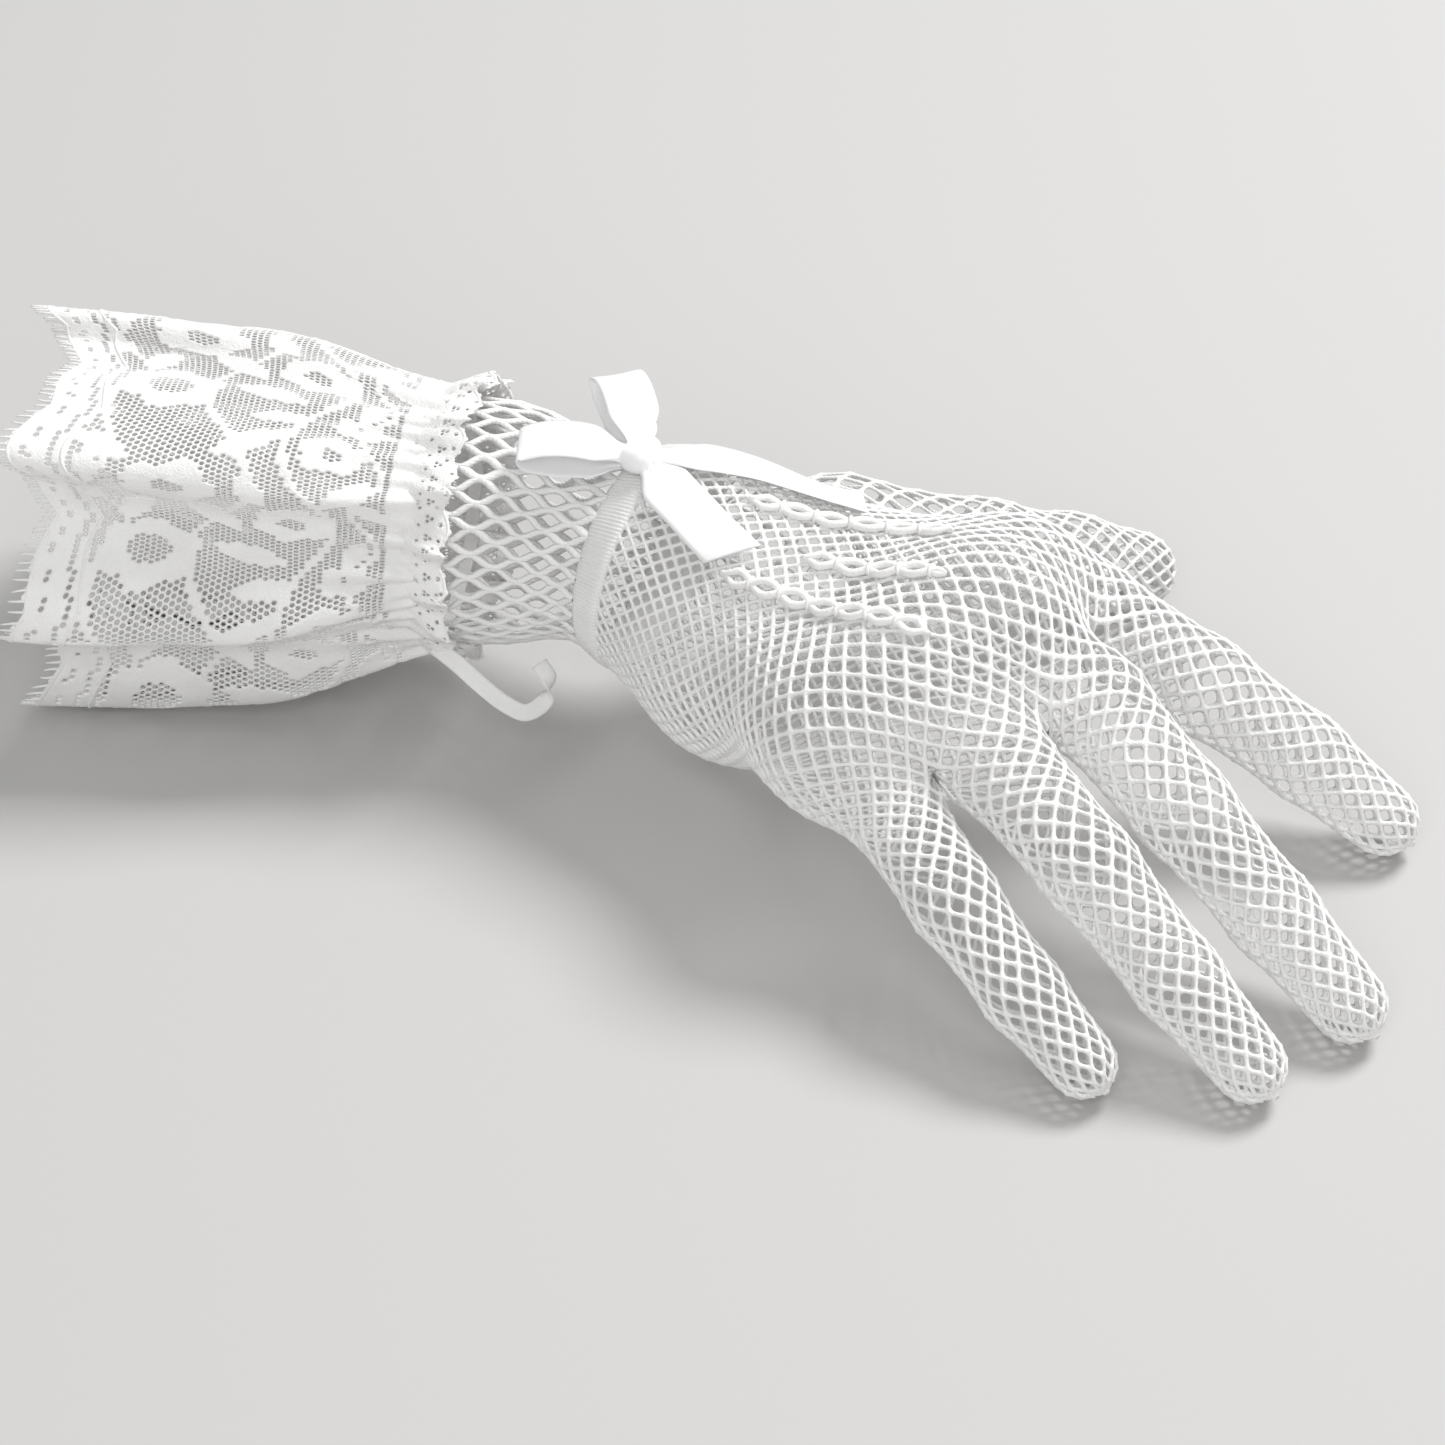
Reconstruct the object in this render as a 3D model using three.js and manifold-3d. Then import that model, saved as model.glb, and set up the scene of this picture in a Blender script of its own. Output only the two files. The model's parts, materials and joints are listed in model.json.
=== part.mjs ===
// A short bridal glove for the right hand, shown in its worn shape: knitted fishnet hand with five
// finger stalls, ribbed wrist band, wide-mesh cuff, gathered lace ruffle and a satin ribbon bow.
// Millimetres. +X runs from the cuff to the fingertips, +Z is up, and the back of the hand faces up.
import * as THREE from "three";
import Module from "manifold-3d";
import { mergeVertices } from "three/addons/utils/BufferGeometryUtils.js";

const wasm = await Module();
wasm.setup();

// ---------------------------------------------------------------- driving dimensions
const SKIN_OUT = 0.35; // the fabric's outer face, above the hand's surface
const WALL = 1.2; // solid wall that stands for the net
const GAP = 0.4; // clearance between neighbouring solids
const FLOOR_Z = 1.0; // the level that the fingertips and the ruffle rest on
const FLEX_DEG = 45; // how far each stall's joint folds towards the palm
const EXTEND_DEG = 10; // and how far it folds back
const BAND_WIDTH = 7.5, BAND_WALL = 1.5;
const CUFF_LENGTH = 37.5, SEAM_TAPE_WIDTH = 3.2;
const RUFFLE_LENGTH = 71, RUFFLE_WALL = 1.0, RUFFLE_FOLDS = 7;
const FRILL_LENGTH = 5.5, FRILL_FOLDS = 16;
const RIBBON_WIDTH = 8, RIBBON_WALL = 0.8;
const COLS = 48; // columns of mesh round the hand, half of them on its back
const ROWS = 14;

// Hand joints: x, y, z and the radius of the hand there.
const J = {
  arm0: [-153.9, -27.0, 38.0, 27], arm1: [-90.3, -0.9, 38.0, 24.8], arm2: [-53.9, 11.0, 39.0, 20.4],
  wrist: [-33.1, 15.9, 39.0, 13.5], palmA: [-13.3, 16.7, 39.0, 14.5], hyp: [0.2, 5.3, 29.0, 12],
  mcp2: [42.1, 31.4, 43.0, 12.2], mcp3: [43.9, 13.6, 46.0, 12.6], mcp4: [41.4, -0.3, 43.0, 12.4], mcp5: [32.1, -10.7, 37.0, 11.8],
  web2: [53.7, 39.2, 39.0, 9.2], web3: [67.4, 14.5, 40.0, 9.0], web4: [59.8, -6.1, 37.0, 8.7], web5: [44.1, -18.4, 31.0, 8.0],
  pip2: [76.5, 41.5, 30.0, 8.2], pip3: [89.3, 6.0, 31.0, 8.1], pip4: [82.2, -15.3, 29.0, 7.9], pip5: [62.8, -28.9, 24.0, 7.2],
  dip2: [95.1, 46.0, 18.0, 7.3], dip3: [109.5, 2.2, 18.0, 7.3], dip4: [102.4, -21.0, 17.0, 7.1], dip5: [79.9, -35.2, 15.0, 6.5],
  tip2: [110.1, 48.8, 7.55, 6.2], tip3: [127.0, -2.0, 7.65, 6.3], tip4: [118.9, -25.1, 7.45, 6.1], tip5: [93.6, -38.5, 7.05, 5.7],
  t0: [-17.0, 31.0, 32.0, 12.5], t1: [-2.9, 49.0, 29.0, 12], t2: [18.3, 67.4, 22.0, 10], t3: [28.8, 82.6, 15.0, 8.6], t4: [37.0, 95.2, 8.55, 7.2],
};
// Points of the finger crotches, and the outer edges of the hand at the little and the index finger.
const CROTCH = {
  out5: [41.5, -25.0, 29.5], c54: [48.2, -10.2, 34.0], c43: [64.2, 4.6, 36.5], c32: [58.8, 27.6, 38.5], out2: [50.5, 48.2, 39.5],
};
const FINGERS = [
  { n: "little", k: "5", left: "out5", right: "c54" },
  { n: "ring", k: "4", left: "c54", right: "c43" },
  { n: "middle", k: "3", left: "c43", right: "c32" },
  { n: "index", k: "2", left: "c32", right: "out2" },
];

// ---------------------------------------------------------------- small vector helpers
const add = (a, b) => [a[0] + b[0], a[1] + b[1], a[2] + b[2]];
const sub = (a, b) => [a[0] - b[0], a[1] - b[1], a[2] - b[2]];
const mul = (a, s) => [a[0] * s, a[1] * s, a[2] * s];
const dot = (a, b) => a[0] * b[0] + a[1] * b[1] + a[2] * b[2];
const cross = (a, b) => [a[1] * b[2] - a[2] * b[1], a[2] * b[0] - a[0] * b[2], a[0] * b[1] - a[1] * b[0]];
const len = (a) => Math.sqrt(dot(a, a));
const unit = (a) => mul(a, 1 / (len(a) || 1));
const lerp = (a, b, t) => add(mul(a, 1 - t), mul(b, t));
const rad = (d) => (d * Math.PI) / 180;
const flat = (a, d) => unit(sub(a, mul(d, dot(a, d)))); // a, made perpendicular to d

// ---------------------------------------------------------------- the hand's surface, as a distance field
function cone(p, A, B) {
  const ba = sub(B, A), l2 = dot(ba, ba), rr = A[3] - B[3], a2 = l2 - rr * rr, il2 = 1 / l2;
  const pa = sub(p, A), y = dot(pa, ba), z = y - l2, q = sub(mul(pa, l2), mul(ba, y)), x2 = dot(q, q);
  const y2 = y * y * l2, z2 = z * z * l2, k = Math.sign(rr) * rr * rr * x2;
  if (Math.sign(z) * a2 * z2 > k) return Math.sqrt(x2 + z2) * il2 - B[3];
  if (Math.sign(y) * a2 * y2 < k) return Math.sqrt(x2 + y2) * il2 - A[3];
  return (Math.sqrt(x2 * a2 * il2) + y * rr) * il2 - A[3];
}
const smin = (a, b, k) => {
  const h = Math.max(k - Math.abs(a - b), 0) / k;
  return Math.min(a, b) - h * h * k * 0.25;
};
const ARM = [["arm0", "arm1"], ["arm1", "arm2"], ["arm2", "wrist"], ["wrist", "palmA"]];
const PALM = [["palmA", "mcp2"], ["palmA", "mcp3"], ["palmA", "mcp4"], ["palmA", "mcp5"], ["wrist", "hyp"], ["hyp", "mcp5"], ["hyp", "palmA"], ["mcp2", "mcp3"], ["mcp3", "mcp4"], ["mcp4", "mcp5"]];
function hand(p) {
  let d = null;
  for (const [a, b] of ARM) { const v = cone(p, J[a], J[b]); d = d === null ? v : smin(d, v, 6); }
  for (const [a, b] of PALM) d = smin(d, cone(p, J[a], J[b]), 12);
  let f = null;
  for (const { k } of FINGERS) {
    const v = smin(cone(p, J["mcp" + k], J["web" + k]), cone(p, J["web" + k], J["pip" + k]), 3);
    f = f === null ? v : smin(f, v, 2.5);
  }
  return smin(d, f, 5);
}
const grad = (p) => unit([0, 1, 2].map((i) => {
  const e = [0, 0, 0]; e[i] = 0.3;
  return hand(add(p, e)) - hand(sub(p, e));
}));
function toSurface(p, level = 0) {
  for (let i = 0; i < 8; i++) p = sub(p, mul(grad(p), (hand(p) - level) * 0.9));
  return p;
}

// ---------------------------------------------------------------- geometry helpers
// Rings of equal length become one closed sleeve: outside, inside and the two rims.
function sleeve(outer, inner) {
  const n = outer[0].length, rings = [...outer, ...inner.slice().reverse()];
  return gridSolid(rings, n);
}
// Rings joined head to tail round a loop of rings, so that the surface closes on itself.
function gridSolid(rings, n) {
  const pos = rings.flat(2), idx = [], m = rings.length;
  for (let i = 0; i < m; i++) for (let j = 0; j < n; j++) {
    const a = i * n + j, b = i * n + ((j + 1) % n), c = ((i + 1) % m) * n + j, d = ((i + 1) % m) * n + ((j + 1) % n);
    idx.push(a, b, c, b, d, c);
  }
  return geo(pos, idx);
}
// A solid from rings, its ends closed by one point each.
function capped(rings) {
  const n = rings[0].length, m = rings.length, pos = rings.flat(2), idx = [];
  for (let i = 0; i + 1 < m; i++) for (let j = 0; j < n; j++) {
    const a = i * n + j, b = i * n + ((j + 1) % n), c = a + n, d = b + n;
    idx.push(a, b, c, b, d, c);
  }
  for (const [r, first] of [[rings[0], true], [rings[m - 1], false]]) {
    const mid = mul(r.reduce(add), 1 / n), at = pos.length / 3, base = first ? 0 : (m - 1) * n;
    pos.push(...mid);
    for (let j = 0; j < n; j++) first ? idx.push(base + j, at, base + ((j + 1) % n)) : idx.push(base + j, base + ((j + 1) % n), at);
  }
  return geo(pos, idx);
}
// A cup: outer rings end in a point, inner rings end in a point, and a rim joins them.
function cup(outer, inner, outTip, inTip) {
  const n = outer[0].length, rings = [...outer.slice().reverse(), ...inner], m = rings.length, pos = rings.flat(2), idx = [];
  for (let i = 0; i + 1 < m; i++) for (let j = 0; j < n; j++) {
    const a = i * n + j, b = i * n + ((j + 1) % n), c = a + n, d = b + n;
    idx.push(a, b, c, b, d, c);
  }
  const o = pos.length / 3; pos.push(...outTip, ...inTip);
  for (let j = 0; j < n; j++) {
    idx.push(j, o, (j + 1) % n);
    idx.push((m - 1) * n + j, (m - 1) * n + ((j + 1) % n), o + 1);
  }
  return geo(pos, idx);
}
// A sheet of rows of points with a thickness: outer and inner grids, closed all round.
function slabOf(outer, inner) {
  const m = outer.length, n = outer[0].length, pos = [...outer.flat(2), ...inner.flat(2)], idx = [], o = m * n;
  for (let i = 0; i + 1 < m; i++) for (let j = 0; j + 1 < n; j++) {
    const a = i * n + j, b = a + 1, c = a + n, d = c + 1;
    idx.push(a, b, c, b, d, c, o + a, o + c, o + b, o + b, o + c, o + d);
  }
  const side = (a, b) => idx.push(a, o + a, b, b, o + a, o + b);
  for (let j = 0; j + 1 < n; j++) { side(j, j + 1); side((m - 1) * n + j + 1, (m - 1) * n + j); }
  for (let i = 0; i + 1 < m; i++) { side((i + 1) * n, i * n); side(i * n + n - 1, (i + 1) * n + n - 1); }
  return geo(pos, idx);
}
function geo(pos, idx) {
  const g = new THREE.BufferGeometry();
  g.setAttribute("position", new THREE.Float32BufferAttribute(pos, 3));
  g.setIndex(idx);
  return g;
}
function solid(g) {
  const m = mergeVertices(g, 1e-4);
  let s = new wasm.Manifold(new wasm.Mesh({ numProp: 3, vertProperties: m.attributes.position.array, triVerts: new Uint32Array(m.index.array) }));
  if (s.volume() < 0) {
    const t = new Uint32Array(m.index.array);
    for (let i = 0; i < t.length; i += 3) [t[i + 1], t[i + 2]] = [t[i + 2], t[i + 1]];
    s = new wasm.Manifold(new wasm.Mesh({ numProp: 3, vertProperties: m.attributes.position.array, triVerts: t }));
  }
  return s;
}
function geometryOf(s) {
  const parts = s.decompose().sort((a, b) => b.volume() - a.volume()), m = parts[0].getMesh();
  return geo(Array.from(m.vertProperties), Array.from(m.triVerts));
}
// A ribbon: a rectangular section swept along points, wide along w and thin along its own normal.
function ribbon(points, width, thick, wideDir, closed = false) {
  const rings = points.map((p, i) => {
    const a = points[closed ? (i - 1 + points.length) % points.length : Math.max(i - 1, 0)];
    const b = points[closed ? (i + 1) % points.length : Math.min(i + 1, points.length - 1)];
    const t = unit(sub(b, a)), w = flat(typeof wideDir === "function" ? wideDir(p, t) : wideDir, t), n = cross(t, w);
    const half = (typeof width === "function" ? width(i / (points.length - 1)) : width) / 2;
    return [[-1, -1], [1, -1], [1, 1], [-1, 1]].map(([u, v]) => add(p, add(mul(w, u * half), mul(n, (v * thick) / 2))));
  });
  return closed ? gridSolid(rings, 4) : capped(rings);
}
const spline = (pts, n, closed = false) => new THREE.CatmullRomCurve3(pts.map((p) => new THREE.Vector3(...p)), closed, "centripetal")
  .getSpacedPoints(n).slice(0, closed ? n : n + 1).map((v) => [v.x, v.y, v.z]);

// ---------------------------------------------------------------- the arm's axis, from the band towards the elbow
const axisCurve = new THREE.CatmullRomCurve3([J.palmA, J.wrist, J.arm2, J.arm1, J.arm0].map((p) => new THREE.Vector3(p[0], p[1], p[2])), false, "centripetal");
const AXIS = axisCurve.getSpacedPoints(400).map((v) => [v.x, v.y, v.z]);
const STEP = axisCurve.getLength() / 400;
// The axis at s millimetres from the wrist joint, positive towards the elbow.
const WRIST_AT = AXIS.reduce((best, p, i) => (len(sub(p, J.wrist)) < len(sub(AXIS[best], J.wrist)) ? i : best), 0);
function axisAt(s) {
  const i = Math.min(Math.max(WRIST_AT + s / STEP, 1), 398), k = Math.floor(i), f = i - k;
  const c = lerp(AXIS[k], AXIS[k + 1], f), t = unit(sub(AXIS[k + 1], AXIS[k - 1]));
  const side = unit(cross([0, 0, 1], t)), up = cross(t, side); // t points at the elbow
  return { c, t, side, up };
}
// The arm's radius at that place, towards an angle round the axis: 0 is the little-finger side and 90 degrees is up.
// The band sits a little askew: on the thumb's side it is nearer to the fingers.
const BAND_SKEW = 2.0;
const skew = (s, angle) => s - BAND_SKEW * Math.cos(angle - rad(127)) * Math.min(1, Math.max(0, (26 - s) / 26));
function armPoint(s0, angle, level) {
  const { c, side, up } = axisAt(skew(s0, angle));
  const d = add(mul(side, Math.cos(angle)), mul(up, Math.sin(angle)));
  let lo = 2, hi = 60;
  for (let i = 0; i < 24; i++) { const m = (lo + hi) / 2; hand(add(c, mul(d, m))) < level ? (lo = m) : (hi = m); }
  return add(c, mul(d, lo));
}
const angles = (n) => Array.from({ length: n }, (_, j) => (j / n) * 2 * Math.PI);

// ---------------------------------------------------------------- finger frames
for (const f of FINGERS) {
  f.l = CROTCH[f.left]; f.r = CROTCH[f.right];
  f.base = lerp(f.l, f.r, 0.5);
  f.pts = [f.base, ...["pip", "dip", "tip"].map((q) => J[q + f.k].slice(0, 3))];
  f.rad = [J["web" + f.k][3], J["pip" + f.k][3], J["dip" + f.k][3], J["tip" + f.k][3]];
  f.rad[0] = Math.min(f.rad[0], len(sub(f.l, f.r)) / 2 - 0.1);
}

// ---------------------------------------------------------------- the hand's own net: a tube of COLS columns
// Its first ring is at the wrist band, and its last follows the bases of the four fingers.
const BASE_GAP = 0.7; // more room where the stalls leave the hand, as their hinges are not on the crotch lines
const PALM_START = -11.1; // from the wrist joint, towards the fingers
function baseRingPoint(f, k, per) {
  const a = unit(sub(f.r, f.l)), up = flat([0, 0, 1], a), n = cross(up, a);
  const d = n[0] > 0 ? n : mul(n, -1), angle = Math.PI * (1 - k / per);
  const r = f.rad[0], half = len(sub(f.r, f.l)) / 2;
  const lift = r * Math.sin(angle);
  return { p: add(f.base, add(mul(a, half * Math.cos(angle)), mul(up, lift))), d, lift, up };
}
function handGrid() {
  const per = COLS / 8, rows = [];
  const first = [], last = [];
  for (let c = 0; c < COLS; c++) {
    const dorsal = c <= COLS / 2, cc = dorsal ? c : COLS - c;
    const u = cc / (COLS / 2);
    // The wrist ring: from the little-finger side over the back to the index side.
    const angle = Math.PI * u * (dorsal ? 1 : -1) + rad(-8);
    first.push(armPoint(PALM_START, angle, 0));
    const fi = Math.min(Math.floor(cc / per), 3), f = FINGERS[fi], k = cc - fi * per;
    const q = baseRingPoint(f, k, per), s = dorsal ? 1 : -1;
    const tilt = dorsal ? Math.tan(rad(EXTEND_DEG / 2)) : Math.tan(rad(FLEX_DEG / 2));
    const onSide = k === 0 || k === per;
    let p = dorsal ? q.p : add(q.p, mul(q.up, -2 * q.lift));
    p = sub(p, mul(q.d, (onSide ? 0 : Math.abs(q.lift) * tilt) + GAP / 2 + BASE_GAP));
    // Between two fingers the back and the palm panels meet edge to edge, one above the other.
    if (cc % per === 0 && cc > 0 && cc < COLS / 2) p = add(p, [0, 0, s * 1.15]);
    last.push(p);
  }
  for (let i = 0; i < ROWS; i++) {
    const t = i / (ROWS - 1);
    rows.push(first.map((p, c) => {
      if (i === 0 || i === ROWS - 1) return i ? last[c] : p;
      const q = lerp(p, last[c], t), u = c / COLS, s = c <= COLS / 2 ? 1 : -1, cc = c <= COLS / 2 ? c : COLS - c;
      const bulge = Math.sin(Math.PI * (cc / (COLS / 2))) * 6 * Math.sin(Math.PI * t);
      return toSurface(add(q, [0, 0, s * bulge]));
    }));
  }
  for (let it = 0; it < 40; it++) {
    const old = rows.map((r) => r.map((p) => p));
    for (let i = 1; i < ROWS - 1; i++) for (let c = 0; c < COLS; c++) {
      const avg = mul(add(add(old[i - 1][c], old[i + 1][c]), add(old[i][(c + 1) % COLS], old[i][(c + COLS - 1) % COLS])), 0.25);
      const moved = lerp(old[i][c], avg, 0.6);
      rows[i][c] = it % 4 === 3 ? toSurface(moved) : sub(moved, mul(grad(moved), hand(moved) * 0.8));
    }
  }
  return rows;
}
const GRID = handGrid();
const NORMAL = GRID.map((row, i) => row.map((p, c) => {
  const cc = c <= COLS / 2 ? c : COLS - c, s = c <= COLS / 2 ? 1 : -1;
  return i === ROWS - 1 && cc % (COLS / 8) === 0 && cc > 0 && cc < COLS / 2 ? [0, 0, s] : grad(p);
}));
const offset = (i, c, h) => add(GRID[i][c % COLS], mul(NORMAL[i][c % COLS], h));

const root = new THREE.Group();
const COLORS = { cotton: 0xf6f5f2, lace: 0xf8f7f5, satin: 0xfbfbfc, elastic: 0xefeeeb };
const mats = Object.fromEntries(Object.entries(COLORS).map(([k, c]) => [k, new THREE.MeshStandardMaterial({ color: c, roughness: k === "satin" ? 0.35 : 0.9, metalness: 0 })]));
function put(name, s, mat) {
  const mesh = new THREE.Mesh(s.isBufferGeometry ? s : geometryOf(s), mats[mat]);
  mesh.name = name;
  root.add(mesh);
  return mesh;
}

// The thumb: a fixed sleeve from the ball of the thumb, then two moving lengths.
const THUMB = ["t0", "t1", "t2", "t3", "t4"].map((k) => J[k]);
const TH_BEND = unit([0.45, -0.25, -0.85]); // the way its pad faces
function ringAt(c, dir, up, r, n, shift = () => 0) {
  const u = flat(up, dir), side = cross(dir, u);
  return angles(n).map((a) => {
    const lift = Math.sin(a) * r, v = add(mul(side, Math.cos(a) * r), mul(u, lift));
    return add(add(c, mul(dir, shift(lift, v))), v);
  });
}
const N_TUBE = 16;
// A length of finger stall between two hinges, open at both ends or rounded at the tip.
function stall(p0, p1, r0, r1, up, start, end, tip = false) {
  const dir = unit(sub(p1, p0)), L = len(sub(p1, p0));
  const build = (dr, extra) => {
    const rings = [], K = 5;
    for (let k = 0; k <= K; k++) {
      const t = k / K, r = r0 + (r1 - r0) * t + dr;
      rings.push(ringAt(p0, dir, up, r, N_TUBE, (lift, v) => {
        const s = start ? start(lift, v) : 0, e = end && !tip ? L - end(lift, v) : L;
        return s + (e - s) * t;
      }));
    }
    return rings;
  };
  const outer = build(SKIN_OUT), inner = build(SKIN_OUT - WALL);
  if (!tip) return solid(sleeve(outer, inner));
  const dome = (rings, r) => {
    for (let k = 1; k <= 4; k++) {
      const a = (k / 5) * (Math.PI / 2);
      rings.push(ringAt(add(p1, mul(dir, r * Math.sin(a))), dir, up, r * Math.cos(a), N_TUBE));
    }
  };
  dome(outer, r1 + SKIN_OUT); dome(inner, r1 + SKIN_OUT - WALL);
  return solid(cup(outer, inner, add(p1, mul(dir, r1 + SKIN_OUT)), add(p1, mul(dir, r1 + SKIN_OUT - WALL))));
}
// How far a segment's end is cut back from its hinge, for a point at v from the segment's axis. The two segments meet
// on the plane that halves the angle between them, and each is slanted away from it for half of the fold.
const EXT = Math.tan(rad(EXTEND_DEG / 2 + 1)), FLX = Math.tan(rad(FLEX_DEG / 2 + 2.5));
const slant = (lift) => GAP / 2 + (lift > 0 ? lift * EXT : -lift * FLX);
const cutOn = (m, dir, up, side, more = 0) => {
  const u = flat(up, m), along = dot(dir, m);
  return (lift, v) => {
    const k = dot(v, m) / along, q = sub(v, mul(dir, k));
    return (slant(dot(q, u)) + more) / along + side * k;
  };
};
const cutEnd = (dir, next, up) => cutOn(unit(add(dir, next)), dir, up, 1);
const cutStart = (prev, dir, up) => cutOn(unit(add(prev, dir)), dir, up, -1);
// The hinge line there: a positive turn about it folds the stall towards the palm.
const hinge = (prev, dir, up) => unit(cross(up, add(prev, dir)));

export const HINGES = {}; // each joint: a point on its hinge line, and the line
for (const f of FINGERS) {
  const dirs = [1, 2, 3].map((i) => unit(sub(f.pts[i], f.pts[i - 1])));
  const a0 = unit(sub(f.r, f.l));
  const up = [0, 0, 1]; // every finger folds in its own upright plane
  HINGES[f.n] = { at: f.pts.slice(0, 3), axes: [hinge(dirs[0], dirs[0], up), hinge(dirs[0], dirs[1], up), hinge(dirs[1], dirs[2], up)] };
  // The first ring is cut on the plane that holds the line through both crotches.
  const m0 = unit(cross(up, a0)), ahead = dot(m0, dirs[0]) > 0 ? m0 : mul(m0, -1);
  const first = cutOn(ahead, dirs[0], up, -1, BASE_GAP);
  put(f.n + "_finger_lower_net", stall(f.pts[0], f.pts[1], f.rad[0], f.rad[1], up, first, cutEnd(dirs[0], dirs[1], up)), "cotton");
  put(f.n + "_finger_middle_net", stall(f.pts[1], f.pts[2], f.rad[1], f.rad[2], up, cutStart(dirs[0], dirs[1], up), cutEnd(dirs[1], dirs[2], up)), "cotton");
  put(f.n + "_fingertip_net", stall(f.pts[2], f.pts[3], f.rad[2], f.rad[3], up, cutStart(dirs[1], dirs[2], up), null, true), "cotton");
  // The closing stitches: a small gathered knot on the very end.
  const end = add(f.pts[3], mul(dirs[2], f.rad[3] + SKIN_OUT + 0.3));
  put(f.n + "_tip_gather", solid(capped([0, 1, 2].map((k) => ringAt(add(end, mul(dirs[2], k * 0.6)), dirs[2], up, [2.1, 2.0, 1.1][k], 10)))), "cotton");
}

// ---------------------------------------------------------------- the hand panels, with the hole for the thumb
const half = COLS / 2;
const grid = (from, to, h, inset) => GRID.map((_, i) => {
  const row = [];
  for (let c = from; c <= to; c++) row.push(offset(i, c, h));
  // The panels stop short of each other along the two edges of the hand.
  row[0] = lerp(row[0], row[1], inset); row[row.length - 1] = lerp(row[row.length - 1], row[row.length - 2], inset);
  return row;
});
const INSET = 0.07;
const back = solid(slabOf(grid(0, half, SKIN_OUT, INSET), grid(0, half, SKIN_OUT - WALL, INSET)));
const palm = solid(slabOf(grid(half, COLS, SKIN_OUT, INSET), grid(half, COLS, SKIN_OUT - WALL, INSET)));
const handCore = solid(capped(GRID.map((row, i) => row.map((p, c) => offset(i, c, SKIN_OUT + GAP)))));
const handInside = solid(capped(GRID.map((row, i) => row.map((p, c) => offset(i, c, SKIN_OUT - WALL - GAP)))));
const thumbRings = (dr, from, to, stepN) => {
  const curve = new THREE.CatmullRomCurve3(THUMB.map((p) => new THREE.Vector3(p[0], p[1], p[2])), false, "centripetal");
  const rings = [];
  for (let k = 0; k <= stepN; k++) {
    const t = from + ((to - from) * k) / stepN, p = curve.getPoint(t), d = curve.getTangent(t), i = Math.min(Math.floor(t * 4), 3), f = t * 4 - i;
    rings.push(ringAt([p.x, p.y, p.z], [d.x, d.y, d.z], mul(TH_BEND, -1), THUMB[i][3] + (THUMB[i + 1][3] - THUMB[i][3]) * f + dr, N_TUBE));
  }
  return rings;
};
const thumbBend = [0, 1, 2, 3].map((i) => unit(sub(THUMB[i + 1], THUMB[i])));
const TH_HINGE = lerp(THUMB[1], THUMB[2], 0.55);
{
  const d0 = thumbBend[1], up = mul(TH_BEND, -1), r = 12 + (10 - 12) * 0.55;
  const sleeveOut = thumbRings(SKIN_OUT, 0.02, 0.25, 5), sleeveIn = thumbRings(SKIN_OUT - WALL, 0.02, 0.25, 5);
  const d2 = unit(sub(THUMB[3], TH_HINGE)), d3 = thumbBend[3];
  const cut = cutEnd(d0, d2, up), L = len(sub(TH_HINGE, THUMB[1]));
  for (const [rings, dr] of [[sleeveOut, SKIN_OUT], [sleeveIn, SKIN_OUT - WALL]]) for (let k = 1; k <= 3; k++) {
    const t = k / 3;
    rings.push(ringAt(THUMB[1], d0, up, 12 + (r - 12) * t + dr, N_TUBE, (lift, v) => t * (L - cut(lift, v))));
  }
  const base = solid(sleeve(sleeveOut, sleeveIn)).subtract(handCore);
  put("thumb_base_net", base, "cotton");
  const plug = solid(capped(sleeveOut.map((ring) => { const m = mul(ring.reduce(add), 1 / ring.length); return ring.map((p) => add(m, mul(sub(p, m), 1 + GAP / 11))); })));
  put("hand_back_net", back.subtract(plug), "cotton");
  put("hand_palm_net", palm.subtract(plug), "cotton");
  put("thumb_lower_net", stall(TH_HINGE, THUMB[3].slice(0, 3), r, THUMB[3][3], up, cutStart(d0, d2, up), cutEnd(d2, d3, up)), "cotton");
  put("thumb_tip_net", stall(THUMB[3].slice(0, 3), THUMB[4].slice(0, 3), THUMB[3][3], THUMB[4][3], up, cutStart(d2, d3, up), null, true), "cotton");
  const end = add(THUMB[4], mul(d3, THUMB[4][3] + SKIN_OUT + 0.3));
  put("thumb_tip_gather", solid(capped([0, 1, 2].map((k) => ringAt(add(end, mul(d3, k * 0.6)), d3, up, [2.2, 2.1, 1.2][k], 10)))), "cotton");
  HINGES.thumb = { at: [TH_HINGE, THUMB[3].slice(0, 3)], axes: [hinge(d0, d2, up), hinge(d2, d3, up)] };
}

// ---------------------------------------------------------------- wrist band, cuff net and seam tape
function armSleeve(s0, s1, out, wall, n = 36, k = 3) {
  const ring = (level) => Array.from({ length: k + 1 }, (_, i) => angles(n).map((a) => armPoint(s0 + ((s1 - s0) * i) / k, a, level)));
  return solid(sleeve(ring(out), ring(out - wall)));
}
const BAND_S = [-10.3, -10.3 + BAND_WIDTH];
put("wrist_band", armSleeve(BAND_S[0], BAND_S[1], SKIN_OUT + 0.5, BAND_WALL), "elastic");
const CUFF_S = [BAND_S[1] + GAP, BAND_S[1] + GAP + CUFF_LENGTH];
put("wide_mesh_cuff", armSleeve(CUFF_S[0], CUFF_S[1], SKIN_OUT, WALL, 36, 6), "cotton");

// ---------------------------------------------------------------- the lace ruffle, its seam and its header frill
const SEAM = CUFF_S[1] - 4.6; // the gathering seam sits on the cuff's end
const AIR = 0.35; // between the lace and what it wraps
put("seam_tape", armSleeve(SEAM, SEAM + SEAM_TAPE_WIDTH, SKIN_OUT + AIR + 0.9, 0.9), "elastic");
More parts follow.
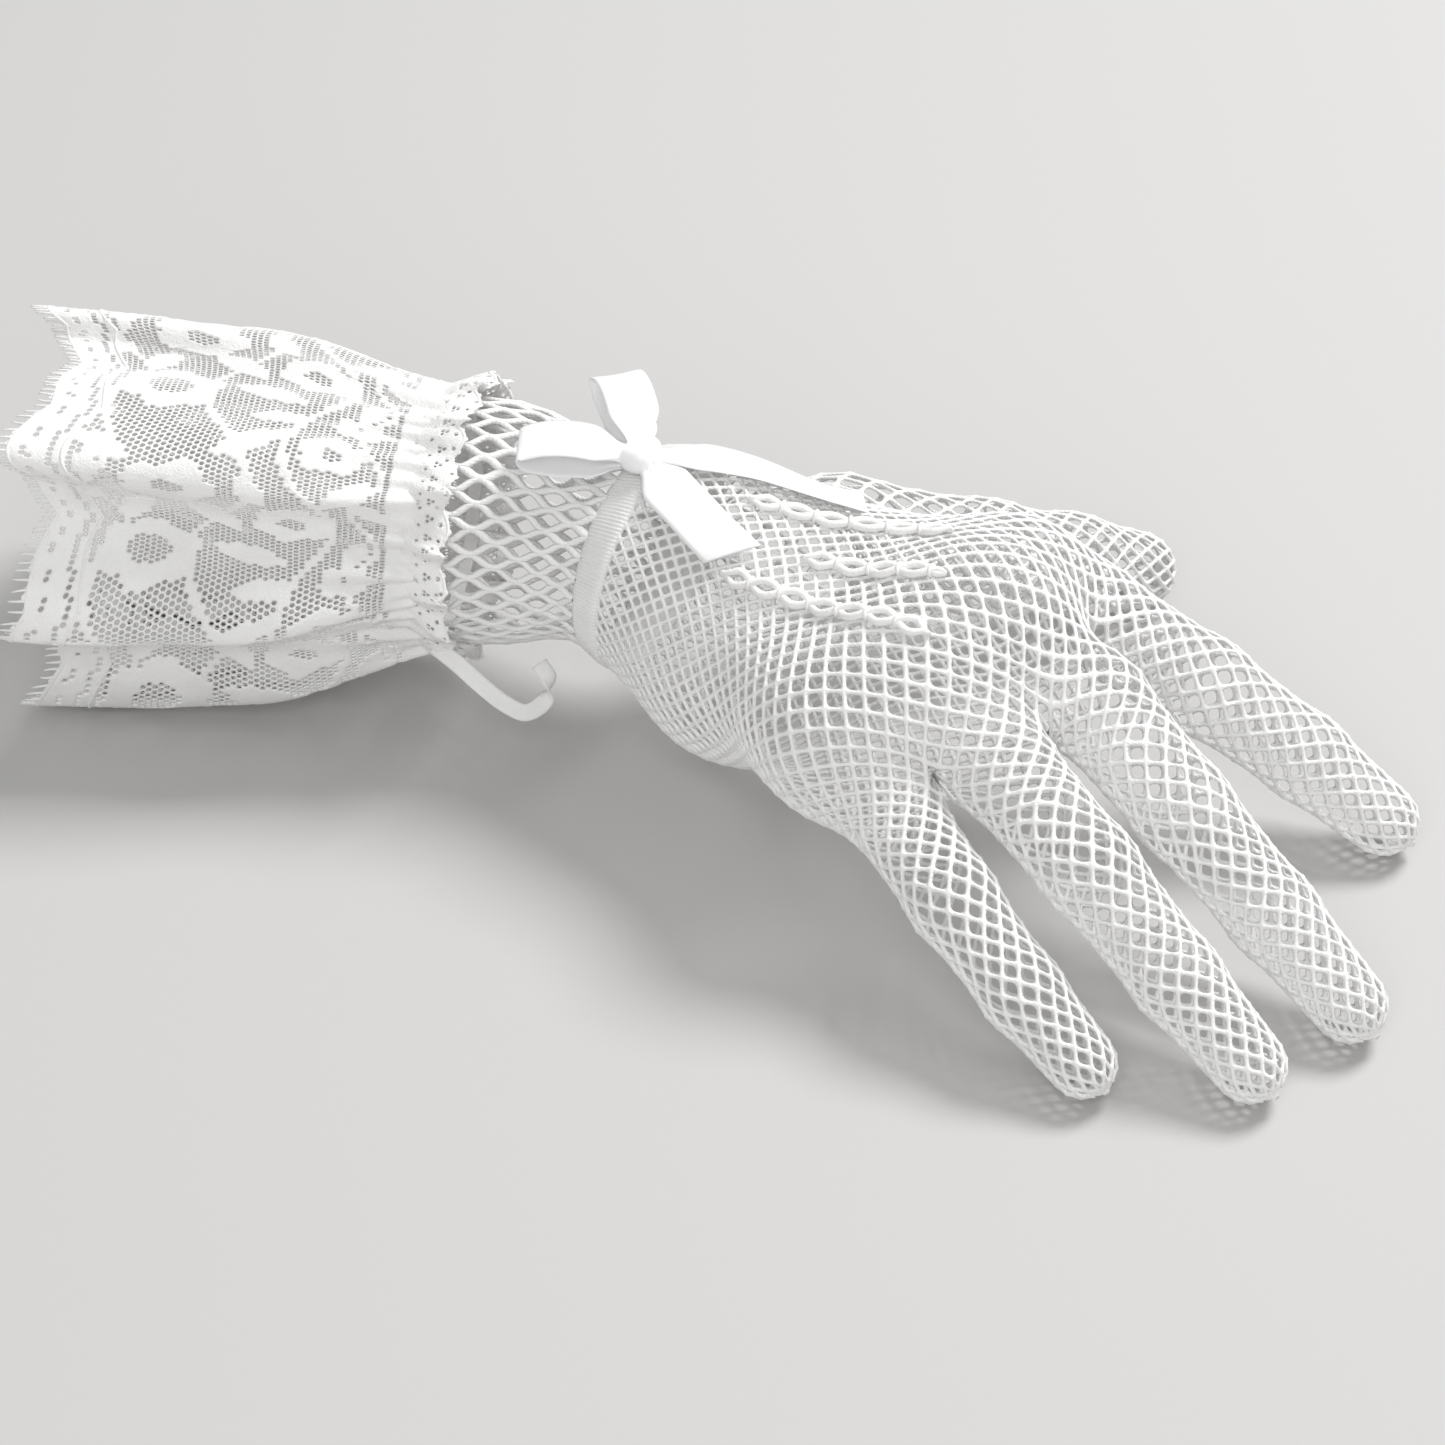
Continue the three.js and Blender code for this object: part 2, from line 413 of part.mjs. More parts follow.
// The ruffle's middle surface. a is the angle round the arm, and l runs from 0 at the seam to 1 at the lace's scalloped edge.
export function rufflePoint(a, l, h = 0) {
  const s = SEAM + SEAM_TAPE_WIDTH + GAP + l * RUFFLE_LENGTH;
  const { c, side, up, t } = axisAt(s), base = armPoint(s, a, SKIN_OUT + 1.6), r0 = len(sub(base, c));
  const down = Math.max(0, -Math.sin(a + 0.25)), near = Math.max(0, Math.cos(a));
  const grow = l * (2 - l) ;
  const fold = Math.cos(RUFFLE_FOLDS * a + 0.35 * Math.sin(2 * a)), small = Math.cos(17 * a + 1);
  let r = r0 + grow * (1.4 + 2.5 * near + 7.0 * down * down) + (fold + 0.9) * (0.5 + 2.9 * grow) * (0.75 + 0.5 * down + 0.25 * near) + small * 0.35 * (1 - l) + h;
  const swing = -0.055 * grow * Math.sin(RUFFLE_FOLDS * a);
  const d = add(mul(side, Math.cos(a + swing)), mul(up, Math.sin(a + swing)));
  const p = add(add(c, mul(d, r)), mul(t, 3.3 * l * l * fold));
  p[2] = Math.max(p[2], FLOOR_Z + RUFFLE_WALL - h); // the folds underneath lie flat on what the glove rests on
  return p;
}
{
  const n = 77, k = 8;
  const ring = (h) => Array.from({ length: k + 1 }, (_, i) => angles(n).map((a) => rufflePoint(a, i / k, h)));
  put("lace_ruffle", solid(sleeve(ring(RUFFLE_WALL), ring(0))), "lace");
}
{
  const n = 72, k = 3;
  const ring = (h) => Array.from({ length: k + 1 }, (_, i) => {
    const l = i / k, s = SEAM - GAP - l * FRILL_LENGTH;
    return angles(n).map((a) => armPoint(s, a, SKIN_OUT + AIR + 0.1 + l * 1.6 + (1 + Math.cos(FRILL_FOLDS * a)) * (0.25 + 0.7 * l) + h));
  });
  put("header_frill", solid(sleeve(ring(0.8), ring(0))), "lace");
}
// The loose end of the seam tape, which hangs in a small loop under the cuff.
{
  const s = SEAM + 0.5, { t, side, up } = axisAt(s), start = armPoint(s - 6.4, rad(-38), SKIN_OUT + 5.2);
  const P = (x, y, z) => add(start, add(mul(t, -x), add(mul(side, y), mul(up, z))));
  put("seam_tape_end", solid(ribbon(spline([P(1.2, 0.4, -0.6), P(5, 1.2, -3.4), P(10, 1.6, -7.0), P(13.5, 1.0, -8.6), P(16.4, -1.6, -7.2), P(16.6, -3.6, -3.6), P(14.6, -4.6, -1.2)], 16), 2.8, 0.8, add(mul(side, 0.9), mul(up, 0.5)))), "elastic");
}

// ---------------------------------------------------------------- three raised points on the back of the hand
const POINTS = {
  point_rib_little_side: [[1.0, -1.8, 0], [7.9, -2.6, 0], [15.7, -3.2, 0], [23.0, -4.2, 0], [31.0, -5.2, 0], [38.3, -6.0, 0], [45.2, -6.4, 0]],
  point_rib_middle: [[13.8, 4.8, 0], [19.7, 5.8, 0], [26.5, 6.3, 0], [33.0, 6.4, 0], [41.3, 6.6, 0]],
  point_rib_index_side: [[-2.1, 13.2, 0], [3.4, 14.3, 0], [9.6, 15.2, 0], [14.7, 16.4, 0], [20.0, 18.6, 0], [26.0, 20.8, 0], [34.5, 21.8, 0]],
};
function topAt(x, y, level) {
  let lo = 38, hi = 90;
  for (let i = 0; i < 26; i++) { const m = (lo + hi) / 2; hand([x, y, m]) < level ? (lo = m) : (hi = m); }
  return [x, y, lo];
}
for (const [name, pts] of Object.entries(POINTS)) {
  const path = spline(pts, 18).map((p) => topAt(p[0], p[1], SKIN_OUT + 0.75 + 0.45));
  put(name, solid(ribbon(path, (t) => 2.8 * (0.45 + 0.55 * Math.min(1, 4 * (1 - Math.abs(2 * t - 1)) + 0.3)), 0.8, [0, 1, 0])), "cotton");
}

// ---------------------------------------------------------------- the satin bow on top of the band
{
  const mid = (BAND_S[0] + BAND_S[1]) / 2, { t, side, up } = axisAt(mid), knotBase = armPoint(mid, rad(82), SKIN_OUT + 0.5 + GAP);
  const F = mul(t, -1); // towards the fingers
  const K = (x, y, z) => add(knotBase, add(mul(F, x), add(mul(side, y), mul(up, z))));
  // The knot: a rounded block of folded ribbon.
  const kn = [];
  for (let i = 0; i <= 6; i++) {
    const v = -1 + (2 * i) / 6, w = Math.sqrt(Math.max(0.25, 1 - 0.6 * v * v));
    kn.push(Array.from({ length: 12 }, (_, j) => { const a = (j / 12) * 2 * Math.PI; const ca = Math.cos(a), sa = Math.sin(a); return K(2.7 * w * Math.sign(ca) * Math.abs(ca) ** 0.6, 3.4 * v, 2.5 + 2.1 * w * Math.sign(sa) * Math.abs(sa) ** 0.6); }));
  }
  put("bow_knot", solid(capped(kn)), "satin");
  const loop = (pts, wide) => solid(ribbon(spline(pts, 30, true), RIBBON_WIDTH, RIBBON_WALL, wide, true));
  // Each loop leaves the knot, swells and comes back under itself.
  put("bow_near_loop", loop([K(-4.6, 2.4, 3.4), K(-9.5, 4.6, 5.0), K(-14.5, 7.2, 5.4), K(-19.5, 9.6, 3.6), K(-14.5, 7.4, 2.0), K(-9.5, 4.8, 2.0), K(-5.0, 2.6, 2.3)], add(add(mul(side, 0.9), mul(F, 0.4)), mul(up, -0.16))), "satin");
  put("bow_far_loop", loop([K(-3.7, -5.4, 3.6), K(-6.6, -8.4, 6.8), K(-10.2, -12.0, 7.8), K(-13.8, -15.6, 5.2), K(-10.4, -12.2, 2.4), K(-6.8, -8.6, 2.2), K(-3.9, -5.6, 2.5)], add(mul(F, 0.7), mul(side, -0.7))), "satin");
  const lay = (pts, level) => pts.map(([x, y]) => { const p = K(x, y, 0); return topAt(p[0], p[1], level); });
  const across = (p, tan) => cross(grad(p), tan);
  const taper = (t) => RIBBON_WIDTH * 0.95 * Math.min(1, 0.4 + 2.4 * t);
  const nearPts = lay([[9, 6.0], [14.5, 8.8], [20, 11.4], [26.5, 14.0]], SKIN_OUT + 2.9);
  put("bow_near_tail", solid(ribbon(spline([K(3.9, 2.9, 2.6), ...nearPts], 18), taper, RIBBON_WALL, across)), "satin");
  const farPts = lay([[10, -4.8], [20, -7.2], [31, -8.8], [41, -9.8]], SKIN_OUT + 2.9);
  put("bow_far_tail", solid(ribbon(spline([K(3.9, -2.6, 2.8), ...farPts], 20), taper, RIBBON_WALL, across)), "satin");
}

// ---------------------------------------------------------------- origin: the middle of the bounding box, on the resting plane
const boxAll = new THREE.Box3().setFromObject(root);
root.position.set(-(boxAll.min.x + boxAll.max.x) / 2, -(boxAll.min.y + boxAll.max.y) / 2, -boxAll.min.z);

export default root;
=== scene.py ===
import json
import math
import bpy
import numpy as np
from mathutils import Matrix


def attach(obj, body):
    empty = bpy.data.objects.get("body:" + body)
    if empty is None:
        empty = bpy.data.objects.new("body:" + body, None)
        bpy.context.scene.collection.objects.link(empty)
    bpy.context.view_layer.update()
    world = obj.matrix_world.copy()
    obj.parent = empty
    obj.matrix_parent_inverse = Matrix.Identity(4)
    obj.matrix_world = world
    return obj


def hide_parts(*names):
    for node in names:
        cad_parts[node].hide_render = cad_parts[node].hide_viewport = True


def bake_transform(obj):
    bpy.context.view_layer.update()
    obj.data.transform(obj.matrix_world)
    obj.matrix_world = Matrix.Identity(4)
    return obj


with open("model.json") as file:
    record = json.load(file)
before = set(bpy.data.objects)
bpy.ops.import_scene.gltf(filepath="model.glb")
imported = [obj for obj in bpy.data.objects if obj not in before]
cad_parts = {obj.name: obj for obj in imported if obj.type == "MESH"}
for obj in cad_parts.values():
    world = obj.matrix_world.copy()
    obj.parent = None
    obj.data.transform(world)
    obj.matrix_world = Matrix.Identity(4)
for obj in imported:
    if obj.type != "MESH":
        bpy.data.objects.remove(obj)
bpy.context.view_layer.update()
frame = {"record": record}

rng = np.random.default_rng(11)
JOINTS = {j["name"]: j for j in frame["record"]["behaviour"]["joints"]}

# ------------------------------------------------------------------ the hand's form, as part.mjs has it, in millimetres
SKIN_OUT = 0.35
PALM_START, BAND_S, GAP = -11.1, (-10.3, -2.8), 0.4
CUFF_S = (BAND_S[1] + GAP, BAND_S[1] + GAP + 37.5)
SEAM = CUFF_S[1] - 4.6
SEAM_TAPE_WIDTH, RUFFLE_LENGTH, RUFFLE_FOLDS, FLOOR_Z, RUFFLE_WALL = 3.2, 71.0, 7, 1.0, 1.0
J = {k: np.array(v, float) for k, v in {
    "arm0": (-153.9, -27.0, 38.0, 27), "arm1": (-90.3, -0.9, 38.0, 24.8), "arm2": (-53.9, 11.0, 39.0, 20.4),
    "wrist": (-33.1, 15.9, 39.0, 13.5), "palmA": (-13.3, 16.7, 39.0, 14.5), "hyp": (0.2, 5.3, 29.0, 12),
    "mcp2": (42.1, 31.4, 43.0, 12.2), "mcp3": (43.9, 13.6, 46.0, 12.6), "mcp4": (41.4, -0.3, 43.0, 12.4), "mcp5": (32.1, -10.7, 37.0, 11.8),
    "web2": (53.7, 39.2, 39.0, 9.2), "web3": (67.4, 14.5, 40.0, 9.0), "web4": (59.8, -6.1, 37.0, 8.7), "web5": (44.1, -18.4, 31.0, 8.0),
    "pip2": (76.5, 41.5, 30.0, 8.2), "pip3": (89.3, 6.0, 31.0, 8.1), "pip4": (82.2, -15.3, 29.0, 7.9), "pip5": (62.8, -28.9, 24.0, 7.2),
    "dip2": (95.1, 46.0, 18.0, 7.3), "dip3": (109.5, 2.2, 18.0, 7.3), "dip4": (102.4, -21.0, 17.0, 7.1), "dip5": (79.9, -35.2, 15.0, 6.5),
    "tip2": (110.1, 48.8, 7.55, 6.2), "tip3": (127.0, -2.0, 7.65, 6.3), "tip4": (118.9, -25.1, 7.45, 6.1), "tip5": (93.6, -38.5, 7.05, 5.7),
    "t0": (-17.0, 31.0, 32.0, 12.5), "t1": (-2.9, 49.0, 29.0, 12), "t2": (18.3, 67.4, 22.0, 10), "t3": (28.8, 82.6, 15.0, 8.6), "t4": (37.0, 95.2, 8.55, 7.2),
}.items()}
CROTCH = {k: np.array(v, float) for k, v in {
    "out5": (41.5, -25.0, 29.5), "c54": (48.2, -10.2, 34.0), "c43": (64.2, 4.6, 36.5), "c32": (58.8, 27.6, 38.5), "out2": (50.5, 48.2, 39.5)}.items()}
FINGERS = [("little", "5", "out5", "c54"), ("ring", "4", "c54", "c43"), ("middle", "3", "c43", "c32"), ("index", "2", "c32", "out2")]
# From this frame to the row's own: the index finger's last joint is at a known point of both.
SHIFT = np.array(JOINTS["index_tip_fold"]["pos_m"]) * 1000.0 - J["dip2"][:3]
SHIFT = np.round(SHIFT, 3)


def unit(v):
    v = np.asarray(v, float)
    return v / np.maximum(np.linalg.norm(v, axis=-1, keepdims=True), 1e-12)


def flat(a, d):
    a = np.asarray(a, float)
    return unit(a - d * np.sum(a * d, -1, keepdims=True))


def smooth(t):
    t = np.clip(t, 0, 1)
    return t * t * (3 - 2 * t)


def cone(p, A, B):
    a, b, ra, rb = A[:3], B[:3], A[3], B[3]
    ba = b - a
    l2 = ba @ ba
    rr = ra - rb
    a2 = l2 - rr * rr
    il2 = 1 / l2
    pa = p - a
    y = pa @ ba
    z = y - l2
    q = pa * l2 - y[..., None] * ba
    x2 = (q * q).sum(-1)
    y2, z2 = y * y * l2, z * z * l2
    k = np.sign(rr) * rr * rr * x2
    c1, c2 = np.sign(z) * a2 * z2 > k, np.sign(y) * a2 * y2 < k
    return np.where(c1, np.sqrt(x2 + z2) * il2 - rb, np.where(c2, np.sqrt(x2 + y2) * il2 - ra, (np.sqrt(x2 * a2 * il2) + y * rr) * il2 - ra))


def smin(a, b, k):
    h = np.maximum(k - np.abs(a - b), 0) / k
    return np.minimum(a, b) - h * h * k * 0.25


ARM = [("arm0", "arm1"), ("arm1", "arm2"), ("arm2", "wrist"), ("wrist", "palmA")]
PALM = [("palmA", "mcp2"), ("palmA", "mcp3"), ("palmA", "mcp4"), ("palmA", "mcp5"), ("wrist", "hyp"), ("hyp", "mcp5"), ("hyp", "palmA"), ("mcp2", "mcp3"), ("mcp3", "mcp4"), ("mcp4", "mcp5")]


def sd_finger(p, k, whole=True):
    v = smin(cone(p, J["mcp" + k], J["web" + k]), cone(p, J["web" + k], J["pip" + k]), 3)
    if whole:
        v = smin(v, cone(p, J["pip" + k], J["dip" + k]), 3)
        v = smin(v, cone(p, J["dip" + k], J["tip" + k]), 3)
    return v


def sd_thumb(p):
    v = cone(p, J["t0"], J["t1"])
    for a, b in (("t1", "t2"), ("t2", "t3"), ("t3", "t4")):
        v = smin(v, cone(p, J[a], J[b]), 4)
    return v


def sd_hand(p, whole=False, thumb=False):
    d = None
    for a, b in ARM:
        v = cone(p, J[a], J[b])
        d = v if d is None else smin(d, v, 6)
    for a, b in PALM:
        d = smin(d, cone(p, J[a], J[b]), 12)
    f = None
    for k in "5432":
        v = sd_finger(p, k, whole)
        f = v if f is None else smin(f, v, 2.5)
    d = smin(d, f, 5)
    return smin(d, sd_thumb(p), 9) if thumb else d


def sd_all(p):
    return sd_hand(p, True, True)


TETRA = np.array(((1, -1, -1), (-1, -1, 1), (-1, 1, -1), (1, 1, 1)), float)


def grad(p, f=sd_all):
    return unit(sum(e * f(p + e * 0.15)[..., None] for e in TETRA))


def project(p, f=sd_all, level=0.0, steps=4):
    for _ in range(steps):
        p = p - grad(p, f) * ((f(p) - level) * 0.9)[..., None]
    return p


def spline(pts, n, closed=False):
    """n points, evenly spaced along a centripetal Catmull-Rom curve."""
    P = np.asarray(pts, float)
    if closed:
        Q = np.vstack([P[-1], P, P[0], P[1]])
    else:
        Q = np.vstack([2 * P[0] - P[1], P, 2 * P[-1] - P[-2]])
    out = []
    u = np.linspace(0, 1, 60, endpoint=False)[:, None]
    for i in range(len(Q) - 3):
        p0, p1, p2, p3 = Q[i:i + 4]
        d0, d1, d2 = (np.sqrt(np.linalg.norm(b - a)) for a, b in ((p0, p1), (p1, p2), (p2, p3)))
        t1 = ((p1 - p0) / d0 - (p2 - p0) / (d0 + d1) + (p2 - p1) / d1) * d1
        t2 = ((p2 - p1) / d1 - (p3 - p1) / (d1 + d2) + (p3 - p2) / d2) * d1
        out.append(p1 + t1 * u + (-3 * p1 + 3 * p2 - 2 * t1 - t2) * u ** 2 + (2 * p1 - 2 * p2 + t1 + t2) * u ** 3)
    out.append(Q[-2][None])
    C = np.vstack(out)
    s = np.r_[0, np.cumsum(np.linalg.norm(np.diff(C, axis=0), axis=1))]
    at = np.linspace(0, s[-1], n + 1)[:-1] if closed else np.linspace(0, s[-1], n)
    return np.stack([np.interp(at, s, C[:, k]) for k in range(3)], 1)


AXIS = spline([J[k][:3] for k in ("palmA", "wrist", "arm2", "arm1", "arm0")], 401)
STEP = np.linalg.norm(np.diff(AXIS, axis=0), axis=1).mean()
WRIST_AT = int(np.argmin(np.linalg.norm(AXIS - J["wrist"][:3], axis=1)))


def axis_at(s):
    x = np.clip(WRIST_AT + np.asarray(s, float) / STEP, 1, 399)
    idx = np.arange(len(AXIS))
    c = np.stack([np.interp(x, idx, AXIS[:, k]) for k in range(3)], -1)
    t = unit(np.stack([np.interp(x + 1, idx, AXIS[:, k]) - np.interp(x - 1, idx, AXIS[:, k]) for k in range(3)], -1))
    side = unit(np.cross((0, 0, 1.0), t))
    return c, t, side, np.cross(t, side)


def arm_point(s, ang, level=0.0, extra=None):
    """Points on the arm, at s millimetres from the wrist joint and an angle round it. The band sits a little askew."""
    s = np.asarray(s, float) - 2.0 * np.cos(ang - math.radians(127)) * np.clip((26 - np.asarray(s, float)) / 26, 0, 1)
    c, t, side, up = axis_at(s)
    d = side * np.cos(ang)[..., None] + up * np.sin(ang)[..., None]
    lo, hi = np.full(np.shape(ang), 2.0), np.full(np.shape(ang), 60.0)
    for _ in range(22):
        m = (lo + hi) / 2
        inside = sd_hand(c + d * m[..., None]) < level
        lo, hi = np.where(inside, m, lo), np.where(inside, hi, m)
    return c + d * (lo if extra is None else lo + extra)[..., None]


# ------------------------------------------------------------------ meshes
def to_m(p):
    return (np.asarray(p, float) + SHIFT) / 1000.0


def mesh(name, verts, faces, uvs=None, merge=True, smooth_shade=True):
    """A mesh object from points in millimetres. faces is a list of index arrays; uvs matches it, one pair a corner."""
    verts = np.asarray(verts, float).reshape(-1, 3)
    faces = [np.asarray(f, np.int64) for f in faces if len(f)]
    if merge:
        key = np.round(verts / 0.004).astype(np.int64)
        _, first, inv = np.unique(key, axis=0, return_index=True, return_inverse=True)
        inv = inv.reshape(-1)
        verts, faces = verts[first], [inv[f] for f in faces]
    keep_f, keep_uv = [], []
    for i, f in enumerate(faces):
        ok = np.ones(len(f), bool)
        if merge:
            for a in range(f.shape[1]):
                for b in range(a + 1, f.shape[1]):
                    ok &= f[:, a] != f[:, b]
        keep_f.append(f[ok])
        keep_uv.append(None if uvs is None else np.asarray(uvs[i])[ok])
    total = np.concatenate([f.ravel() for f in keep_f])
    sizes = np.concatenate([np.full(len(f), f.shape[1]) for f in keep_f])
    me = bpy.data.meshes.new(name)
    me.vertices.add(len(verts))
    me.vertices.foreach_set("co", to_m(verts).astype(np.float32).ravel())
    me.loops.add(len(total))
    me.loops.foreach_set("vertex_index", total.astype(np.int32))
    me.polygons.add(len(sizes))
    me.polygons.foreach_set("loop_start", np.r_[0, np.cumsum(sizes)[:-1]].astype(np.int32))
    me.polygons.foreach_set("use_smooth", np.full(len(sizes), smooth_shade))
    me.update(calc_edges=True)
    if uvs is not None:
        layer = me.uv_layers.new(name="strand")
        layer.data.foreach_set("uv", np.concatenate([u.reshape(-1, 2) for u in keep_uv]).astype(np.float32).ravel())
    me.validate()
    ob = bpy.data.objects.new(name, me)
    bpy.context.scene.collection.objects.link(ob)
    return ob


def grid_faces(m, n, closed_u=False, closed_v=False, start=0, flip=False):
    i = np.arange(m if closed_u else m - 1)[:, None]
    j = np.arange(n if closed_v else n - 1)[None, :]
    a = i * n + j
    b = i * n + (j + 1) % n
    c = ((i + 1) % m) * n + (j + 1) % n
    d = ((i + 1) % m) * n + j
    q = np.stack([a, b, c, d], -1).reshape(-1, 4) + start
    return q[:, ::-1] if flip else q


def tube(path, radius, n=8, closed=False, squash=1.0, up=(0, 0, 1.0)):
    """Rings along a path: (points, quads, end fans) for a cord. radius may vary along it."""
    P = np.asarray(path, float)
    T = np.roll(P, -1, 0) - np.roll(P, 1, 0) if closed else np.gradient(P, axis=0)
    T = unit(T)
    A = np.empty_like(P)
    a = flat(np.array(up, float), T[0])
    for i in range(len(P)):
        a = flat(a, T[i])
        A[i] = a
    B = np.cross(T, A)
    r = np.broadcast_to(np.asarray(radius, float), len(P))[:, None, None]
    th = np.linspace(0, 2 * np.pi, n, endpoint=False)
    R = P[:, None] + r * (A[:, None] * (np.sin(th) * squash)[None, :, None] + B[:, None] * np.cos(th)[None, :, None])
    q = grid_faces(len(P), n, closed, True)
    V = R.reshape(-1, 3)
    if closed:
        return V, [q]
    V = np.vstack([V, P[0], P[-1]])
    k = np.arange(n)
    c0, c1, last = len(V) - 2, len(V) - 1, (len(P) - 1) * n
    tri = np.vstack([np.stack([k, np.full(n, c0), (k + 1) % n], 1)[:, [0, 1, 2]], np.stack([last + k, last + (k + 1) % n, np.full(n, c1)], 1)])
    return V, [q, tri]


def joined(parts):
    V, F, at = [], [], 0
    for v, fs in parts:
        V.append(v)
        F += [np.asarray(f) + at for f in fs]
        at += len(v)
    quads = [f for f in F if f.shape[1] == 4]
    tris = [f for f in F if f.shape[1] == 3]
    return np.vstack(V), [np.vstack(x) for x in (quads, tris) if x]


def fix_normals(ob):
    import bmesh
    bm = bmesh.new()
    bm.from_mesh(ob.data)
    bmesh.ops.recalc_face_normals(bm, faces=bm.faces)
    bm.to_mesh(ob.data)
    bm.free()
    return ob


# ------------------------------------------------------------------ materials
def material(name, base, dark, rough, bump, kind, sheen=0.25):
    m = bpy.data.materials.new(name)
    m.use_nodes = True
    nt = m.node_tree
    bsdf = nt.nodes["Principled BSDF"]
    bsdf.inputs["Roughness"].default_value = rough
    bsdf.inputs["Sheen Weight"].default_value = sheen
    bsdf.inputs["Sheen Roughness"].default_value = 0.5
    bsdf.inputs["Specular IOR Level"].default_value = 0.35
    new = nt.nodes.new
    link = nt.links.new
    geo = new("ShaderNodeTexCoord")
    broad = new("ShaderNodeTexNoise")
    broad.inputs["Scale"].default_value = 90
    broad.inputs["Detail"].default_value = 4
    link(geo.outputs["Object"], broad.inputs["Vector"])
    ramp = new("ShaderNodeValToRGB")
    ramp.color_ramp.elements[0].position, ramp.color_ramp.elements[1].position = 0.3, 0.7
    ramp.color_ramp.elements[0].color, ramp.color_ramp.elements[1].color = (*dark, 1), (*base, 1)
    link(broad.outputs["Fac"], ramp.inputs["Fac"])
    link(ramp.outputs["Color"], bsdf.inputs["Base Color"])
    bumps = new("ShaderNodeBump")
    bumps.inputs["Strength"].default_value = bump
    bumps.inputs["Distance"].default_value = 0.0002
    fine = new("ShaderNodeTexNoise")
    fine.inputs["Detail"].default_value = 5
    link(geo.outputs["Object"], fine.inputs["Vector"])
    if kind == "yarn":  # twisted plies: slanted ridges along each strand, with loose fibre between
        uv = new("ShaderNodeUVMap")
        uv.uv_map = "strand"
        wave = new("ShaderNodeTexWave")
        wave.inputs["Scale"].default_value = 0.55
        wave.inputs["Distortion"].default_value = 1.2
        wave.inputs["Detail"].default_value = 2
        wave.bands_direction = "DIAGONAL"
        link(uv.outputs["UV"], wave.inputs["Vector"])
        fine.inputs["Scale"].default_value = 2600
        mix = new("ShaderNodeMath")
        mix.operation = "MULTIPLY_ADD"
        mix.inputs[1].default_value = 0.6
        link(wave.outputs["Fac"], mix.inputs[0])
        link(fine.outputs["Fac"], mix.inputs[2])
        link(mix.outputs[0], bumps.inputs["Height"])
    elif kind == "satin":  # fine long floats of thread
        vec = new("ShaderNodeMapping")
        vec.inputs["Scale"].default_value = (400, 5200, 400)
        link(geo.outputs["Object"], vec.inputs["Vector"])
        link(vec.outputs["Vector"], fine.inputs["Vector"])
        fine.inputs["Scale"].default_value = 1.0
        link(fine.outputs["Fac"], bumps.inputs["Height"])
        bsdf.inputs["Anisotropic"].default_value = 0.4
    else:  # embroidered or ribbed cloth: short stitches
        vor = new("ShaderNodeTexVoronoi")
        vor.inputs["Scale"].default_value = 2300
        link(geo.outputs["Object"], vor.inputs["Vector"])
        fine.inputs["Scale"].default_value = 3200
        mix = new("ShaderNodeMath")
        mix.operation = "MULTIPLY_ADD"
        mix.inputs[1].default_value = 0.8
        link(vor.outputs["Distance"], mix.inputs[0])
        link(fine.outputs["Fac"], mix.inputs[2])
        link(mix.outputs[0], bumps.inputs["Height"])
    link(bumps.outputs["Normal"], bsdf.inputs["Normal"])
    return m


YARN = material("cotton_net_yarn", (0.86, 0.857, 0.85), (0.80, 0.797, 0.79), 0.72, 0.45, "yarn", 0.3)
LACE = material("embroidered_lace", (0.88, 0.876, 0.868), (0.79, 0.785, 0.776), 0.82, 0.5, "cloth", 0.3)
TRIM = material("rib_knit", (0.84, 0.837, 0.83), (0.77, 0.767, 0.76), 0.8, 0.4, "cloth", 0.25)
SATIN = material("white_satin", (0.92, 0.92, 0.925), (0.87, 0.87, 0.878), 0.34, 0.16, "satin", 0.4)


def dress(ob, mat):
    ob.data.materials.append(mat)
    return ob


